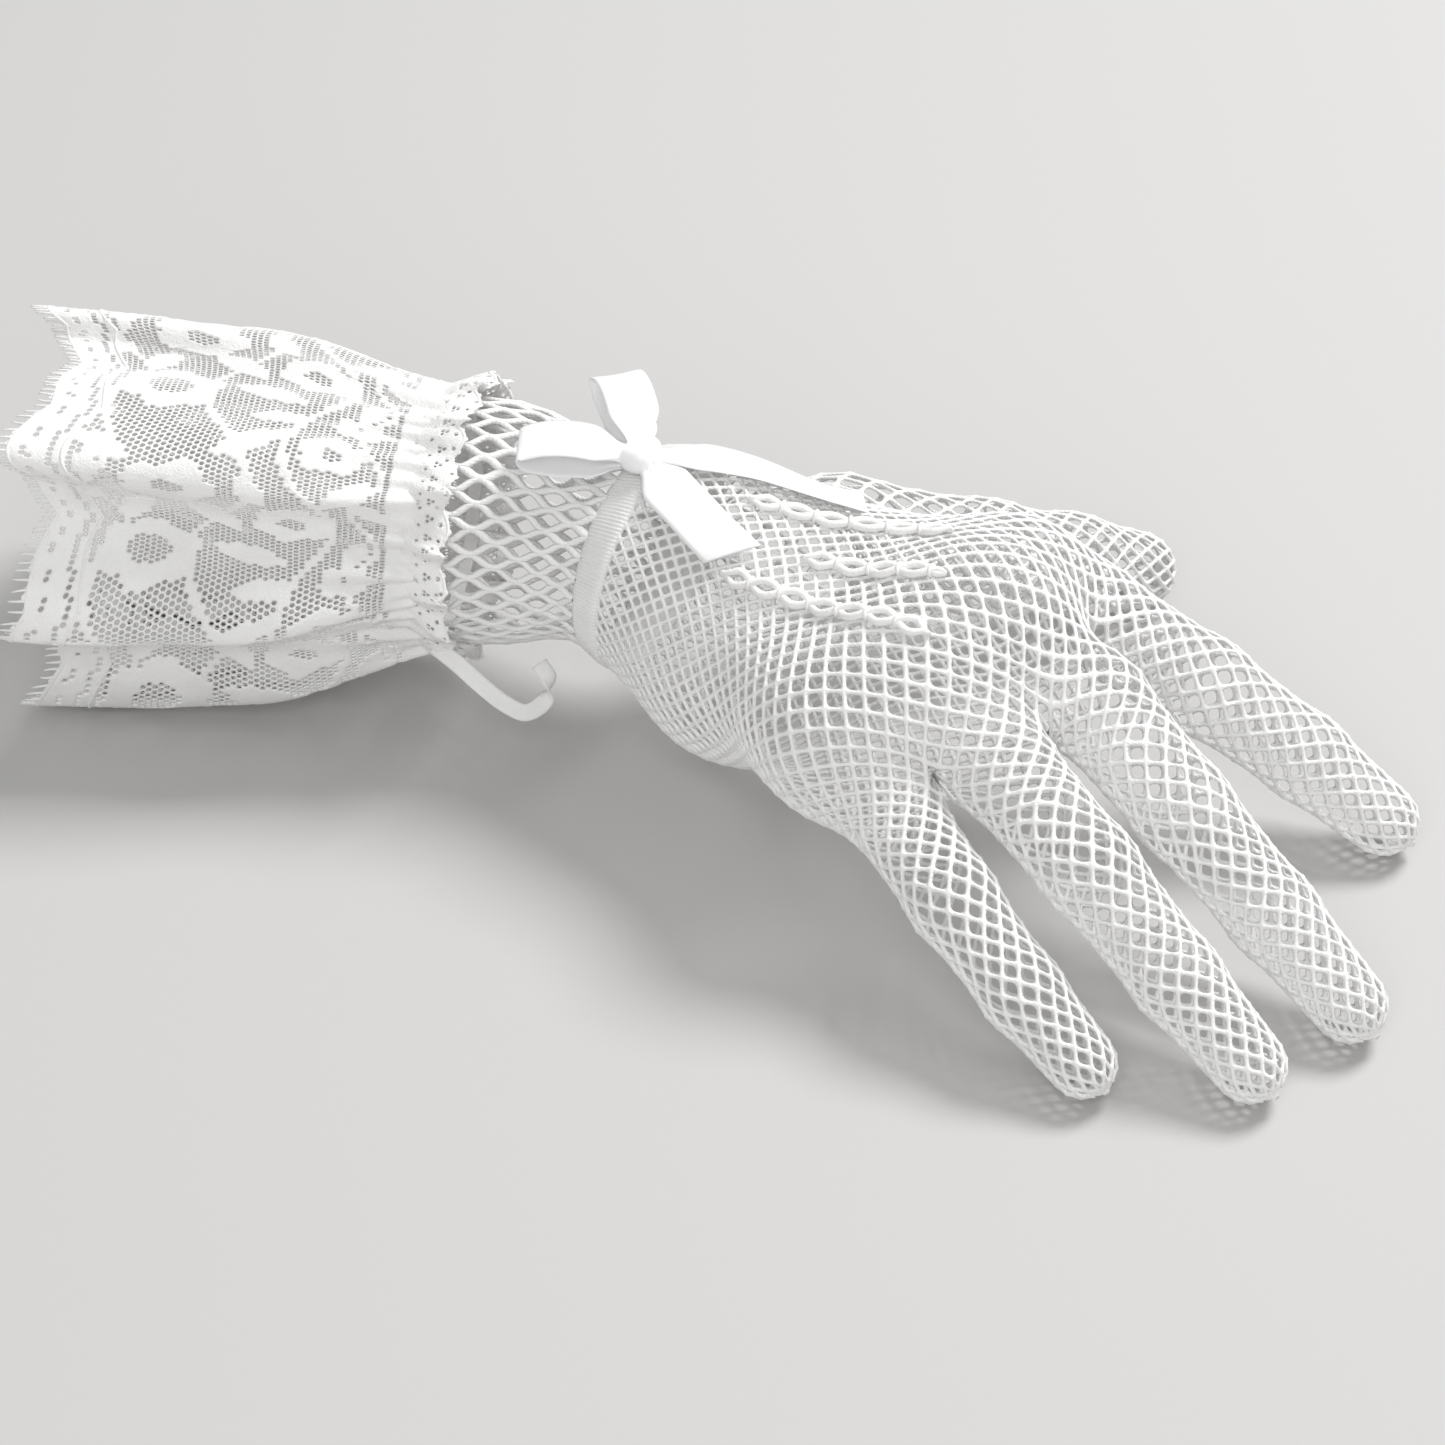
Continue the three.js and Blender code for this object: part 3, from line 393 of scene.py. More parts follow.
# ------------------------------------------------------------------ the net: every hole is a rounded opening between four strands
def net(name, C, NC, E1, N1, E2, N2, dmin, swap, width=0.76, h=0.38, rho=0.20, seg=4, off=0.1, knot=0.12, jitter=None, along=None, wave=0.0):
    """One sector for each hole and strand beside it. C is the hole's middle; E1 and E2 are the knots at the strand's ends."""
    n = seg + 1
    u = np.linspace(0, 1, n)
    R = E1[:, None] * (1 - u)[None, :, None] + E2[:, None] * u[None, :, None]
    if along is not None:  # the strand leaves each knot along the arm, so that it waves
        d = E2 - E1
        line_ = flat(np.broadcast_to(along, d.shape), unit(N1 + N2))
        across_ = d - line_ * (d * line_).sum(1, keepdims=True)
        R = R + across_[:, None] * ((smooth(u) - u) * wave)[None, :, None]
    # Symmetric midpoints, so that both sides of a strand land on the same place.
    N = unit(N1[:, None] * (1 - u)[None, :, None] + N2[:, None] * u[None, :, None])
    s = np.clip(1 - (width / 2) * (1 if jitter is None else jitter) / np.maximum(dmin, 0.05), 0.1, 0.92)
    rnd = 1 - rho * np.abs(2 * u - 1) ** 2.2
    H = C[:, None] + (R - C[:, None]) * (s[:, None] * rnd[None])[..., None]
    NH = unit(NC[:, None] + N)
    kn = knot * np.abs(2 * u - 1) ** 3
    top = R + N * (off + h + kn)[None, :, None] if np.ndim(kn) else R
    shoulder = R * 0.52 + H * 0.48 + N * (off + 0.80 * h)
    edge = H + NH * off
    low = R - N * (h - off)
    V = np.stack([top, shoulder, edge, low], 2)  # sectors, n, 4, 3
    S = len(C)
    base = (np.arange(S)[:, None] * n + np.arange(seg)[None, :]) * 4
    i0, i1 = base, base + 4
    quads = np.stack([np.stack([i0, i1, i1 + 1, i0 + 1], -1), np.stack([i0 + 1, i1 + 1, i1 + 2, i0 + 2], -1), np.stack([i0 + 3, i0 + 2, i1 + 2, i1 + 3], -1)], 2)
    L = np.linalg.norm(E2 - E1, axis=1)[:, None] * u[None]
    sign = np.where(swap, -1.0, 1.0)[:, None]
    along = np.where(swap[:, None], L[:, ::-1], L)
    across = np.stack([np.zeros_like(L), sign * 0.45 * np.ones_like(L), sign * 0.9 * np.ones_like(L), sign * 1.8 * np.ones_like(L)], 2)
    UV = np.stack([np.broadcast_to(along[..., None], across.shape), across], -1).reshape(-1, 2)
    Q = quads.reshape(-1, 4)
    return mesh(name, V.reshape(-1, 3), [Q], [UV[Q]])


class Net:
    """Points joined by quads. Points of even parity are knots, and each odd one is the middle of a hole."""

    def __init__(self):
        self.P, self.parity, self.fixed, self.tag, self.quads = [], [], [], [], []

    def point(self, p, parity, fixed=False, tag=0):
        self.P.append(np.asarray(p, float))
        self.parity.append(parity % 2)
        self.fixed.append(fixed)
        self.tag.append(tag)
        return len(self.P) - 1

    def sectors(self, Q):
        """For each quad (in order round it) and each of its odd corners: (odd, even, even)."""
        par = np.array(self.parity)
        out = []
        for k in range(4):
            v = Q[:, k]
            odd = par[v] == 1
            out.append(np.stack([v[odd], Q[odd][:, (k + 1) % 4], Q[odd][:, (k - 1) % 4]], 1))
        return np.vstack(out)


G = Net()
COLS, ROWS, PER = 96, 44, 24
# The rows of the hand, from the wrist band to the bases of the fingers.
BASES = []
for name, k, l, r in FINGERS:
    L, Rr = CROTCH[l], CROTCH[r]
    base = (L + Rr) / 2
    a = unit(Rr - L)
    up = flat(np.array((0, 0, 1.0)), a)
    pts = [base] + [J[q + k][:3] for q in ("pip", "dip", "tip")]
    rad = [min(J["web" + k][3], np.linalg.norm(Rr - L) / 2 - 0.1)] + [J[q + k][3] for q in ("pip", "dip", "tip")]
    BASES.append(dict(name=name, k=k, L=L, R=Rr, base=base, a=a, up=up, pts=pts, rad=rad))


def base_ring(f, kk):
    """kk 0..24 round a finger's base: 0 is the crotch towards the little finger, 6 its back, 12 the other crotch."""
    th = math.pi * (1 - kk / 12)
    half = np.linalg.norm(f["R"] - f["L"]) / 2
    return f["base"] + f["a"] * half * math.cos(th) + f["up"] * f["rad"][0] * 0.96 * math.sin(th)


first = arm_point(np.full(COLS, PALM_START + 1.6), np.array([math.pi * (c if c <= 48 else 96 - c) / 48 * (1 if c <= 48 else -1) + math.radians(-8) for c in range(COLS)]), 0.0)
last = []
for c in range(COLS):
    dorsal = c <= 48
    cc = c if dorsal else 96 - c
    fi = min(cc // 12, 3)
    kk = cc - fi * 12
    last.append(base_ring(BASES[fi], kk if dorsal else 24 - kk))
last = np.array(last)
rows = []
for i in range(ROWS + 1):
    t = i / ROWS
    q = first * (1 - t) + last * t
    cc = np.array([c if c <= 48 else 96 - c for c in range(COLS)])
    s = np.array([1 if c <= 48 else -1 for c in range(COLS)])
    q[:, 2] += s * np.sin(np.pi * cc / 48) * 6 * math.sin(math.pi * t)
    rows.append(q)
rows = np.array(rows)
# Where the thumb comes out: the middle of the points that are inside it.
inside = sd_thumb(project(rows.reshape(-1, 3), lambda p: sd_hand(p, True), 0.0).reshape(-1, 3)).reshape(ROWS + 1, COLS) < -1.0
ri, ci = np.nonzero(inside)
TH_R, TH_C = int(round(ri.mean())) - 5, int(round(ci.mean())) - 4
TH_DR, TH_DC = 8, 6
print("thumb block", TH_R, TH_C, "of", ri.min(), ri.max(), ci.min(), ci.max())
gid = -np.ones((ROWS + 1, COLS), int)
for i in range(ROWS + 1):
    for c in range(COLS):
        if TH_R < i < TH_R + TH_DR and TH_C < c < TH_C + TH_DC:
            continue
        crotch = i == ROWS and (c % 48) % 12 == 0
        if i == ROWS and c > 48 and (96 - c) % 12 == 0 and (96 - c) not in (0, 48):
            gid[i, c] = gid[i, 96 - c]
            continue
        gid[i, c] = G.point(rows[i, c], i + c, fixed=(i == 0) or crotch, tag=i)
HAND_BACK, HAND_PALM = [], []
for i in range(ROWS):
    for c in range(COLS):
        if TH_R <= i < TH_R + TH_DR and TH_C <= c < TH_C + TH_DC:
            continue
        q = (gid[i, c], gid[i, (c + 1) % COLS], gid[i + 1, (c + 1) % COLS], gid[i + 1, c])
        G.quads.append(q)
RING0 = {}
for fi, f in enumerate(BASES):
    ring = [gid[ROWS, 12 * fi + k] for k in range(13)] + [gid[ROWS, (96 - (12 * fi + 24 - k)) % 96] for k in range(13, 24)]
    RING0[fi] = ring
    line = spline(f["pts"], 240)
    seg = np.r_[0, np.cumsum(np.linalg.norm(np.diff(line, axis=0), axis=1))]
    Lf = seg[-1]
    knots = [seg[int(np.argmin(np.linalg.norm(line - p, axis=1)))] for p in f["pts"]]
    f["knots"] = knots
    rt = f["rad"][3]
    total = Lf + rt * 1.22
    K = 2 * int(round(total / 2.3 / 2))
    f["K"] = K
    prev = ring
    f["ids"] = [ring]
    f["s"] = [0.0]
    a_side = f["a"]
    for kk in range(1, K + 1):
        s = total * kk / K
        if s <= Lf:
            c = np.array([np.interp(s, seg, line[:, x]) for x in range(3)])
            c2 = np.array([np.interp(min(s + 0.5, Lf), seg, line[:, x]) for x in range(3)])
            c1 = np.array([np.interp(s - 0.5, seg, line[:, x]) for x in range(3)])
            d = unit(c2 - c1)
            r = np.interp(s, knots, f["rad"])
        else:
            ph = (s - Lf) / rt
            c, r = line[-1] + d * rt * math.sin(ph), rt * math.cos(ph)
        up = flat(np.array((0, 0, 1.0)), d)
        side = flat(f["a"], d)
        side = unit(side - up * (side @ up))
        th = np.pi * (1 - np.arange(24) / 12)
        P = c + r * (side * np.cos(th)[:, None] + up * np.sin(th)[:, None])
        w = float(smooth(kk / 6))
        if kk < 6:
            R0 = np.array([G.P[v] for v in ring]) + d * s
            P = R0 * (1 - w) + P * w
        ids = [G.point(P[m], ROWS + 12 * fi + kk + m if m <= 12 else ROWS + 12 * fi + kk + m, fixed=kk > 7, tag=1000 * (fi + 1) + kk) for m in range(24)]
        for m in range(24):
            G.quads.append((prev[m], prev[(m + 1) % 24], ids[(m + 1) % 24], ids[m]))
        prev = ids
        f["ids"].append(ids)
        f["s"].append(s)
# The thumb's rows go on from the edge of the block.
edge = [(TH_R, TH_C + k) for k in range(TH_DC)] + [(TH_R + k, TH_C + TH_DC) for k in range(TH_DR)] + [(TH_R + TH_DR, TH_C + TH_DC - k) for k in range(TH_DC)] + [(TH_R + TH_DR - k, TH_C) for k in range(TH_DR)]
tring = [gid[i, c] for i, c in edge]
NT = len(tring)
tline = spline([J[k][:3] for k in ("t0", "t1", "t2", "t3", "t4")], 320)
tseg = np.r_[0, np.cumsum(np.linalg.norm(np.diff(tline, axis=0), axis=1))]
tknots = [tseg[int(np.argmin(np.linalg.norm(tline - J[k][:3], axis=1)))] for k in ("t0", "t1", "t2", "t3", "t4")]
trad = [J[k][3] for k in ("t0", "t1", "t2", "t3", "t4")]
PAD = unit(np.array((0.45, -0.25, -0.85)))


def thumb_ring(s, n=NT):
    rt, Lt = trad[-1], tseg[-1]
    q = min(s, Lt)
    c = np.array([np.interp(q, tseg, tline[:, x]) for x in range(3)])
    d = unit(np.array([np.interp(min(q + 0.5, Lt), tseg, tline[:, x]) - np.interp(q - 0.5, tseg, tline[:, x]) for x in range(3)]))
    r = np.interp(q, tknots, trad)
    if s > Lt:
        ph = (s - Lt) / rt
        c, r = c + d * rt * math.sin(ph), rt * math.cos(ph)
    up = flat(-PAD, d)
    side = np.cross(d, up)
    th = 2 * np.pi * np.arange(n) / n
    return c + r * (side * np.cos(th)[:, None] + up * np.sin(th)[:, None])


T_START = tknots[1] - 3.0
R0 = np.array([G.P[v] for v in tring])
best = None
for sgn in (1, -1):
    for o in range(NT):
        order = (o + sgn * np.arange(NT)) % NT
        d = ((R0 - thumb_ring(T_START)[order]) ** 2).sum()
        if best is None or d < best[0]:
            best = (d, order)
order = best[1]
t_total = tseg[-1] + trad[-1] * 1.22
KT = 2 * int(round((t_total - T_START) / 2.5 / 2)) + 2
tprev = tring
T_IDS, T_S = [tring], [T_START - 4]
tpar = [G.parity[v] for v in tring]
for kk in range(1, KT + 1):
    s = T_START + (t_total - T_START) * kk / KT
    P = thumb_ring(s)[order]
    if kk < 6:
        w = float(smooth(kk / 6))
        P = R0 * (1 - w) + P * w
    ids = [G.point(P[m], tpar[m] + kk, fixed=kk > 9, tag=9000 + kk) for m in range(NT)]
    for m in range(NT):
        G.quads.append((tprev[m], tprev[(m + 1) % NT], ids[(m + 1) % NT], ids[m]))
    tprev = ids
    T_IDS.append(ids)
    T_S.append(s)

P = np.array(G.P)
fixed = np.array(G.fixed)
Q = np.array(G.quads)
edges = np.unique(np.sort(np.vstack([Q[:, [0, 1]], Q[:, [1, 2]], Q[:, [2, 3]], Q[:, [3, 0]]]), axis=1), axis=0)
deg = np.bincount(edges.ravel(), minlength=len(P))
free = ~fixed
P = project(P, sd_all, 0.0, 4)
P[fixed] = np.array(G.P)[fixed]
PASSES = 130
for it in range(PASSES):
    total = np.zeros_like(P)
    np.add.at(total, edges[:, 0], P[edges[:, 1]])
    np.add.at(total, edges[:, 1], P[edges[:, 0]])
    mean = total / deg[:, None]
    P[free] += (mean - P)[free] * 0.62
    if it % 3 == 2:
        P[free] = project(P[free], sd_all, 0.0, 1)
move = project(P, sd_all, 0.0, 3)
P = np.where((free | (np.array(G.tag) > 1000))[:, None], move, P)
NRM = grad(P)
# Crotches: the normal there looks out between the fingers.
par = np.array(G.parity)
tag = np.array(G.tag)
S3 = G.sectors(Q)
cr = np.cross(P[S3[:, 1]] - P[S3[:, 0]], P[S3[:, 2]] - P[S3[:, 0]])
bad = (cr * NRM[S3[:, 0]]).sum(1) < 0
S3[bad] = S3[bad][:, [0, 2, 1]]
A, B, Cc = P[S3[:, 1]], P[S3[:, 2]], P[S3[:, 0]]
area = np.linalg.norm(np.cross(A - Cc, B - Cc), axis=1)
dist = area / np.maximum(np.linalg.norm(B - A, axis=1), 1e-6)
dmin = np.full(len(P), 1e9)
np.minimum.at(dmin, S3[:, 0], dist)
hole_jit = 1 + 0.10 * rng.standard_normal(len(P))
ltag = tag[S3[:, 0]]


def net_piece(name, mask, **kw):
    s = S3[mask]
    ob = net(name, P[s[:, 0]], NRM[s[:, 0]], P[s[:, 1]], NRM[s[:, 1]], P[s[:, 2]], NRM[s[:, 2]], dmin[s[:, 0]], s[:, 1] > s[:, 2], jitter=hole_jit[s[:, 0]], **kw)
    return dress(ob, YARN)


# The hand's own net: two pieces, the back and the palm, which share the strands between them.
col_of = -np.ones(len(P), int)
for i in range(ROWS + 1):
    for c in range(COLS):
        if gid[i, c] >= 0 and col_of[gid[i, c]] < 0:
            col_of[gid[i, c]] = c
hc = col_of[S3[:, 0]]
in_hand = ltag < 1000
back = net_piece("hand_back_fishnet", in_hand & (hc <= 48))
palm = net_piece("hand_palm_fishnet", in_hand & (hc > 48))
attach(back, "hand"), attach(palm, "hand")
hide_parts("hand_back_net")
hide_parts("hand_palm_net")


NETS = [back, palm]
for fi, f in enumerate(BASES):
    n, k = f["name"], f["knots"]
    L1, L2, L3 = k[1], k[2] - k[1], k[3] - k[2]
    rows_s = np.array(f["s"])
    m1 = int(np.searchsorted(rows_s, 0.62 * L1))
    m2 = int(np.searchsorted(rows_s, k[1] + 0.5 * L2))
    kk = ltag - 1000 * (fi + 1)
    mine = (ltag >= 1000 * (fi + 1)) & (ltag < 1000 * (fi + 2))
    low = net_piece(f"{n}_finger_lower_fishnet", mine & (kk <= m1))
    mid = net_piece(f"{n}_finger_middle_fishnet", mine & (kk > m1) & (kk <= m2))
    tip = net_piece(f"{n}_fingertip_fishnet", mine & (kk > m2))
    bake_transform(low)
    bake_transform(mid)
    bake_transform(tip)
    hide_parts(f"{n}_finger_lower_net")
    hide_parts(f"{n}_finger_middle_net")
    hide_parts(f"{n}_fingertip_net")
    NETS += [low, mid, tip]
hinge = J["t1"][:3] * 0.45 + J["t2"][:3] * 0.55
s_h = tseg[int(np.argmin(np.linalg.norm(tline - hinge, axis=1)))]
rows_s = np.array(T_S)
m0 = int(np.searchsorted(rows_s, s_h - 8.5))
m1 = int(np.searchsorted(rows_s, (s_h + tknots[3]) / 2))
kk = ltag - 9000
mine = ltag >= 9000
tb = net_piece("thumb_base_fishnet", mine & (kk <= m0))
tl = net_piece("thumb_lower_fishnet", mine & (kk > m0) & (kk <= m1))
tt = net_piece("thumb_tip_fishnet", mine & (kk > m1))
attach(tb, "hand")
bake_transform(tl)
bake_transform(tt)
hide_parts("thumb_base_net")
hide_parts("thumb_lower_net")
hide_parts("thumb_tip_net")
NETS += [tb, tl, tt]

# ------------------------------------------------------------------ the gathers that close the tips
def gather(name, body, end, d, r, node):
    """The last ring of the net, drawn together: pleats that run into a small stitched point."""
    up = flat(np.array((0, 0, 1.0)), d)
    side = np.cross(d, up)
    n, rings = 96, 12
    th = 2 * np.pi * np.arange(n) / n
    pleat = np.abs(np.sin(6 * th)) ** 0.7
    V = []
    for i in range(rings + 1):
        t = i / rings
        rad = r * (1 - t) ** 0.8 + 0.35 * t
        z = r * 0.42 * t ** 1.4 + 0.5 * max(0, t - 0.85) * 5
        h = 0.30 * math.sin(math.pi * min(1, t * 1.1)) * (pleat - 0.5)
        V.append(end + d * (z + h)[:, None] + (rad * (1 - 0.06 * pleat))[:, None] * (side * np.cos(th)[:, None] + up * np.sin(th)[:, None]))
    V = np.array(V)
    under = V[::-1] - d * 0.5
    under = end + (under - end) * 0.94
    full = np.concatenate([V, under[:-0 or None]])
    ob = mesh(name, full.reshape(-1, 3), [grid_faces(len(full), n, True, True)], merge=False)
    fix_normals(ob)
    dress(ob, LACE)
    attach(ob, body)
    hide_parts(node)
    return ob


for fi, f in enumerate(BASES):
    ring = P[np.array(f["ids"][-1])]
    d = unit(f["pts"][3] - f["pts"][2])
    c = ring.mean(0)
    r = np.linalg.norm(ring - c, axis=1).mean()
    gather(f["name"] + "_tip_closing_gather", f["name"] + "_tip", c + d * 0.05, d, r + 0.5, f["name"] + "_tip_gather")
ring = P[np.array(T_IDS[-1])]
d = unit(J["t4"][:3] - J["t3"][:3])
gather("thumb_tip_closing_gather", "thumb_tip", ring.mean(0) + d * 0.05, d, np.linalg.norm(ring - ring.mean(0), axis=1).mean() + 0.5, "thumb_tip_gather")

# ------------------------------------------------------------------ wrist band: a fine rib knit
def band(name, s0, s1, ribs, out, depth, amp, wave=0.0):
    n, m = ribs * 5, 15
    ang = 2 * np.pi * np.arange(n) / n
    rib = 0.5 + 0.5 * np.cos(ribs * ang)
    outer, inner = [], []
    for i in range(m):
        t = i / (m - 1)
        s = s0 + (s1 - s0) * t
        crown = 1 - (2 * t - 1) ** 6
        ss = np.full(n, s) + wave * np.sin(9 * ang)
        loops = 0.06 * math.cos(2 * math.pi * 7 * t)
        b = arm_point(ss, ang, SKIN_OUT - 0.6)
        c = axis_at(ss)[0]
        dr = unit(b - c)
        outer.append(b + dr * (out * crown + depth * 0.4 + (amp * rib ** 0.8 + loops * rib) * crown)[:, None])
        inner.append(b)
    rows_ = outer + inner[::-1]
    ob = mesh(name, np.array(rows_).reshape(-1, 3), [grid_faces(len(rows_), n, True, True)], merge=False)
    return fix_normals(ob)


wb = band("ribbed_wrist_band", BAND_S[0] - 0.5, BAND_S[1] + 0.5, 176, 0.75, 0.8, 0.42)
dress(wb, TRIM)
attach(wb, "hand")
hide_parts("wrist_band")

# ------------------------------------------------------------------ cuff: thick wavy strands with lens-shaped holes
g = Net()
NA, NR = 60, 8
ids = -np.ones((NR + 1, NA), int)
for i in range(NR + 1):
    s = BAND_S[1] - 0.6 + (CUFF_S[1] - BAND_S[1] + 0.2) * (1 - i / NR) ** 0.93
    ang = 2 * np.pi * np.arange(NA) / NA + 0.02 * np.sin(5 * i)
    wob = 0.35 * np.sin(3 * ang + i)
    pts = arm_point(np.full(NA, s) + wob, ang, 0.15)
    for c in range(NA):
        ids[i, c] = g.point(pts[c], i + c)
q = np.array([(ids[i, c], ids[i, (c + 1) % NA], ids[i + 1, (c + 1) % NA], ids[i + 1, c]) for i in range(NR) for c in range(NA)])
gp = np.array(g.P)
gn = grad(gp, sd_hand)
s3 = g.sectors(q)
crs = np.cross(gp[s3[:, 1]] - gp[s3[:, 0]], gp[s3[:, 2]] - gp[s3[:, 0]])
bd = (crs * gn[s3[:, 0]]).sum(1) < 0
s3[bd] = s3[bd][:, [0, 2, 1]]
dd = np.linalg.norm(np.cross(gp[s3[:, 1]] - gp[s3[:, 0]], gp[s3[:, 2]] - gp[s3[:, 0]]), axis=1) / np.linalg.norm(gp[s3[:, 2]] - gp[s3[:, 1]], axis=1)
dm = np.full(len(gp), 1e9)
np.minimum.at(dm, s3[:, 0], dd)
jit = 1 + 0.10 * rng.standard_normal(len(gp))
AX_T = axis_at(np.array([14.0]))[1][0]
cuff = net("wide_mesh_cuff_net", gp[s3[:, 0]], gn[s3[:, 0]], gp[s3[:, 1]], gn[s3[:, 1]], gp[s3[:, 2]], gn[s3[:, 2]], dm[s3[:, 0]], s3[:, 1] > s3[:, 2], width=1.28, h=0.54, rho=0.05, seg=9, off=0.15, knot=0.06, jitter=jit[s3[:, 0]], along=AX_T, wave=1.15)
dress(cuff, YARN)
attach(cuff, "hand")
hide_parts("wide_mesh_cuff")

# ------------------------------------------------------------------ the ruffle's surface
def ruffle(a, l, h=0.0):
    """a is the angle round the arm, l runs from the seam (0) to the scalloped edge (1); h is not used."""
    a, l = np.broadcast_arrays(np.asarray(a, float), np.asarray(l, float))
    s = SEAM + SEAM_TAPE_WIDTH - 2.2 + l * (RUFFLE_LENGTH + 2.0)
    c, t, side, up = axis_at(s)
    r0 = np.linalg.norm(arm_point(s, a, SKIN_OUT + 1.5) - c, axis=-1)
    down, near = np.maximum(0, -np.sin(a + 0.25)), np.maximum(0, np.cos(a))
    lc = np.clip(l, 0, 1.05)
    grow = lc * (2 - lc)
    ph = RUFFLE_FOLDS * (a - 0.86) + 0.5 * np.sin(2 * a + 0.6) + 0.35 * np.sin(3.1 * l + a)
    fold = np.cos(ph + 0.45 * np.sin(ph))
    start = np.exp(-l * 7.5)
    gath = np.cos(46 * a + 1.3 * np.sin(5 * a)) * 0.55 * np.exp(-l * 9) + np.cos(23 * a + 2 + 2 * np.sin(3 * a)) * 0.55 * np.exp(-((l - 0.12) / 0.14) ** 2)
    small = np.cos(19 * a + 1 + 1.5 * l) * 0.35 * smooth(l * 3) + 0.25 * np.sin(11 * a + 9 * l)
    r = r0 + grow * (1.4 + 2.5 * near + 7.0 * down ** 2) + (fold + 0.85) * (0.35 + 3.4 * grow) * (0.78 + 0.5 * down + 0.3 * near) + gath + small
    swing = -0.095 * grow * (fold + 0.1)
    d = side * np.cos(a + swing)[..., None] + up * np.sin(a + swing)[..., None]
    p = c + d * r[..., None] + t * (3.3 * l * l * fold)[..., None]
    low = FLOOR_Z + 0.55 + 0.35 * (fold + 1) * smooth((l - 0.1) * 4)
    z = p[..., 2]
    p[..., 2] = np.where(z < low + 2.2, low + 2.2 * np.exp((z - low - 2.2) / 2.2), z)
    return p


def on_ruffle(x, y, W, h=None):
    """Points and normals for a place on the flat lace: x round the edge, y from the seam to the edge, in millimetres."""
    a, l = 2 * np.pi * x / W, y / RUFFLE_LENGTH
    e = 1e-3
    p = ruffle(a, l)
    pa, pl = ruffle(a + e, l) - p, ruffle(a, l + e) - p
    n = unit(np.cross(pa, pl))
    c = axis_at(SEAM + l * RUFFLE_LENGTH)[0]
    n = n * np.where(((p - c) * n).sum(-1) < 0, -1, 1)[..., None]
    return p, n


# ------------------------------------------------------------------ lace: a hexagonal net whose motifs are its filled cells
def lace(name, W, NX, PY, NYr, kind, place, thin=0.13, thick=0.30, hole=0.60, split=1):
    """kind(x, y) gives 0 for nothing, 1 for open net, 2 for cloth; place(x, y) gives points and normals."""
    px = W / NX
    i, j = np.meshgrid(np.arange(NX), np.arange(NYr), indexing="ij")
    i, j = i.ravel(), j.ravel()
    cx, cy = (i + 0.5 * (j % 2)) * px, j * PY
    k = kind(cx, cy)
    keep = k > 0
    i, j, cx, cy, k = i[keep], j[keep], cx[keep], cy[keep], k[keep]
    offs = [(0, 2), (1, 1), (1, -1), (0, -2), (-1, -1), (-1, 1)]
    kx = np.stack([(2 * i + (j % 2) + o[0]) % (2 * NX) for o in offs], 1)
    ky = np.stack([3 * j + o[1] for o in offs], 1)
    key = kx * 100000 + ky + 10
    uniq, inv = np.unique(key, return_inverse=True)
    inv = inv.reshape(key.shape)
    ux, uy = (uniq // 100000) * px / 2, ((uniq % 100000) - 10) * PY / 3
    count = np.bincount(inv.ravel(), minlength=len(uniq))
    solid = np.bincount(inv.ravel(), weights=np.repeat((k == 2).astype(float), 6), minlength=len(uniq)) / count
    mixed = (solid > 0.1) & (solid < 0.9)
    h = thin + (thick - thin) * solid + 0.13 * mixed
    h = np.where(count < 3, 0.02, h)
    up_, un = place(ux, uy)
    top, bot = up_ + un * h[:, None], up_ - un * h[:, None] * 0.8
    cp, cn = place(cx, cy)
    out = []
    parts = np.minimum((split * cx / W).astype(int), split - 1)
    nU = len(uniq)
    for part in range(split):
        m = parts == part
        o, sd = m & (k == 1), m & (k == 2)
        V = [top, bot]
        at = 2 * nU
        quads, tris = [], []
        idx = inv[o]
        H = cp[o][:, None] + (up_[idx] - cp[o][:, None]) * hole
        V.append(H.reshape(-1, 3))
        hid = at + np.arange(len(idx) * 6).reshape(-1, 6)
        at += len(idx) * 6
        for a in range(6):
            b = (a + 1) % 6
            quads.append(np.stack([idx[:, a], idx[:, b], hid[:, b], hid[:, a]], 1))
            quads.append(np.stack([idx[:, a] + nU, hid[:, a], hid[:, b], idx[:, b] + nU], 1))
        idx = inv[sd]
        stitch = thick * (1.0 + 0.18 * rng.standard_normal(len(idx)))
        V += [cp[sd] + cn[sd] * stitch[:, None], cp[sd] - cn[sd] * thick * 0.8]
        ct = at + np.arange(len(idx))
        cb = ct + len(idx)
        for a in range(6):
            b = (a + 1) % 6
            tris.append(np.stack([idx[:, a], idx[:, b], ct], 1))
            tris.append(np.stack([idx[:, b] + nU, idx[:, a] + nU, cb], 1))
        V = np.vstack(V)
        F = [np.vstack(quads), np.vstack(tris)]
        used = np.unique(np.concatenate([f.ravel() for f in F]))
        remap = -np.ones(len(V), int)
        remap[used] = np.arange(len(used))
        V, F = V[used], [remap[f] for f in F]
        # Outward is up at the first tip.
        q0 = F[0][0]
        ob = mesh(name if split == 1 else f"{name}_{part + 1}", V, F, merge=False)
        me = ob.data
        nrm = np.cross(V[q0[1]] - V[q0[0]], V[q0[2]] - V[q0[0]])
        ref = un[inv[o][0, 0]] if o.any() else cn[sd][0]
        if nrm @ ref < 0:
            me.flip_normals()
        dress(ob, LACE)
        out.append(ob)
    return out


W_LACE = 392.0
REPEAT = W_LACE / 6


def scallop(x):
    """How far the lace's edge falls short of its full length there."""
    t = (x / (REPEAT / 3)) % 1.0
    return 2.3 * np.abs(2 * t - 1) ** 1.6


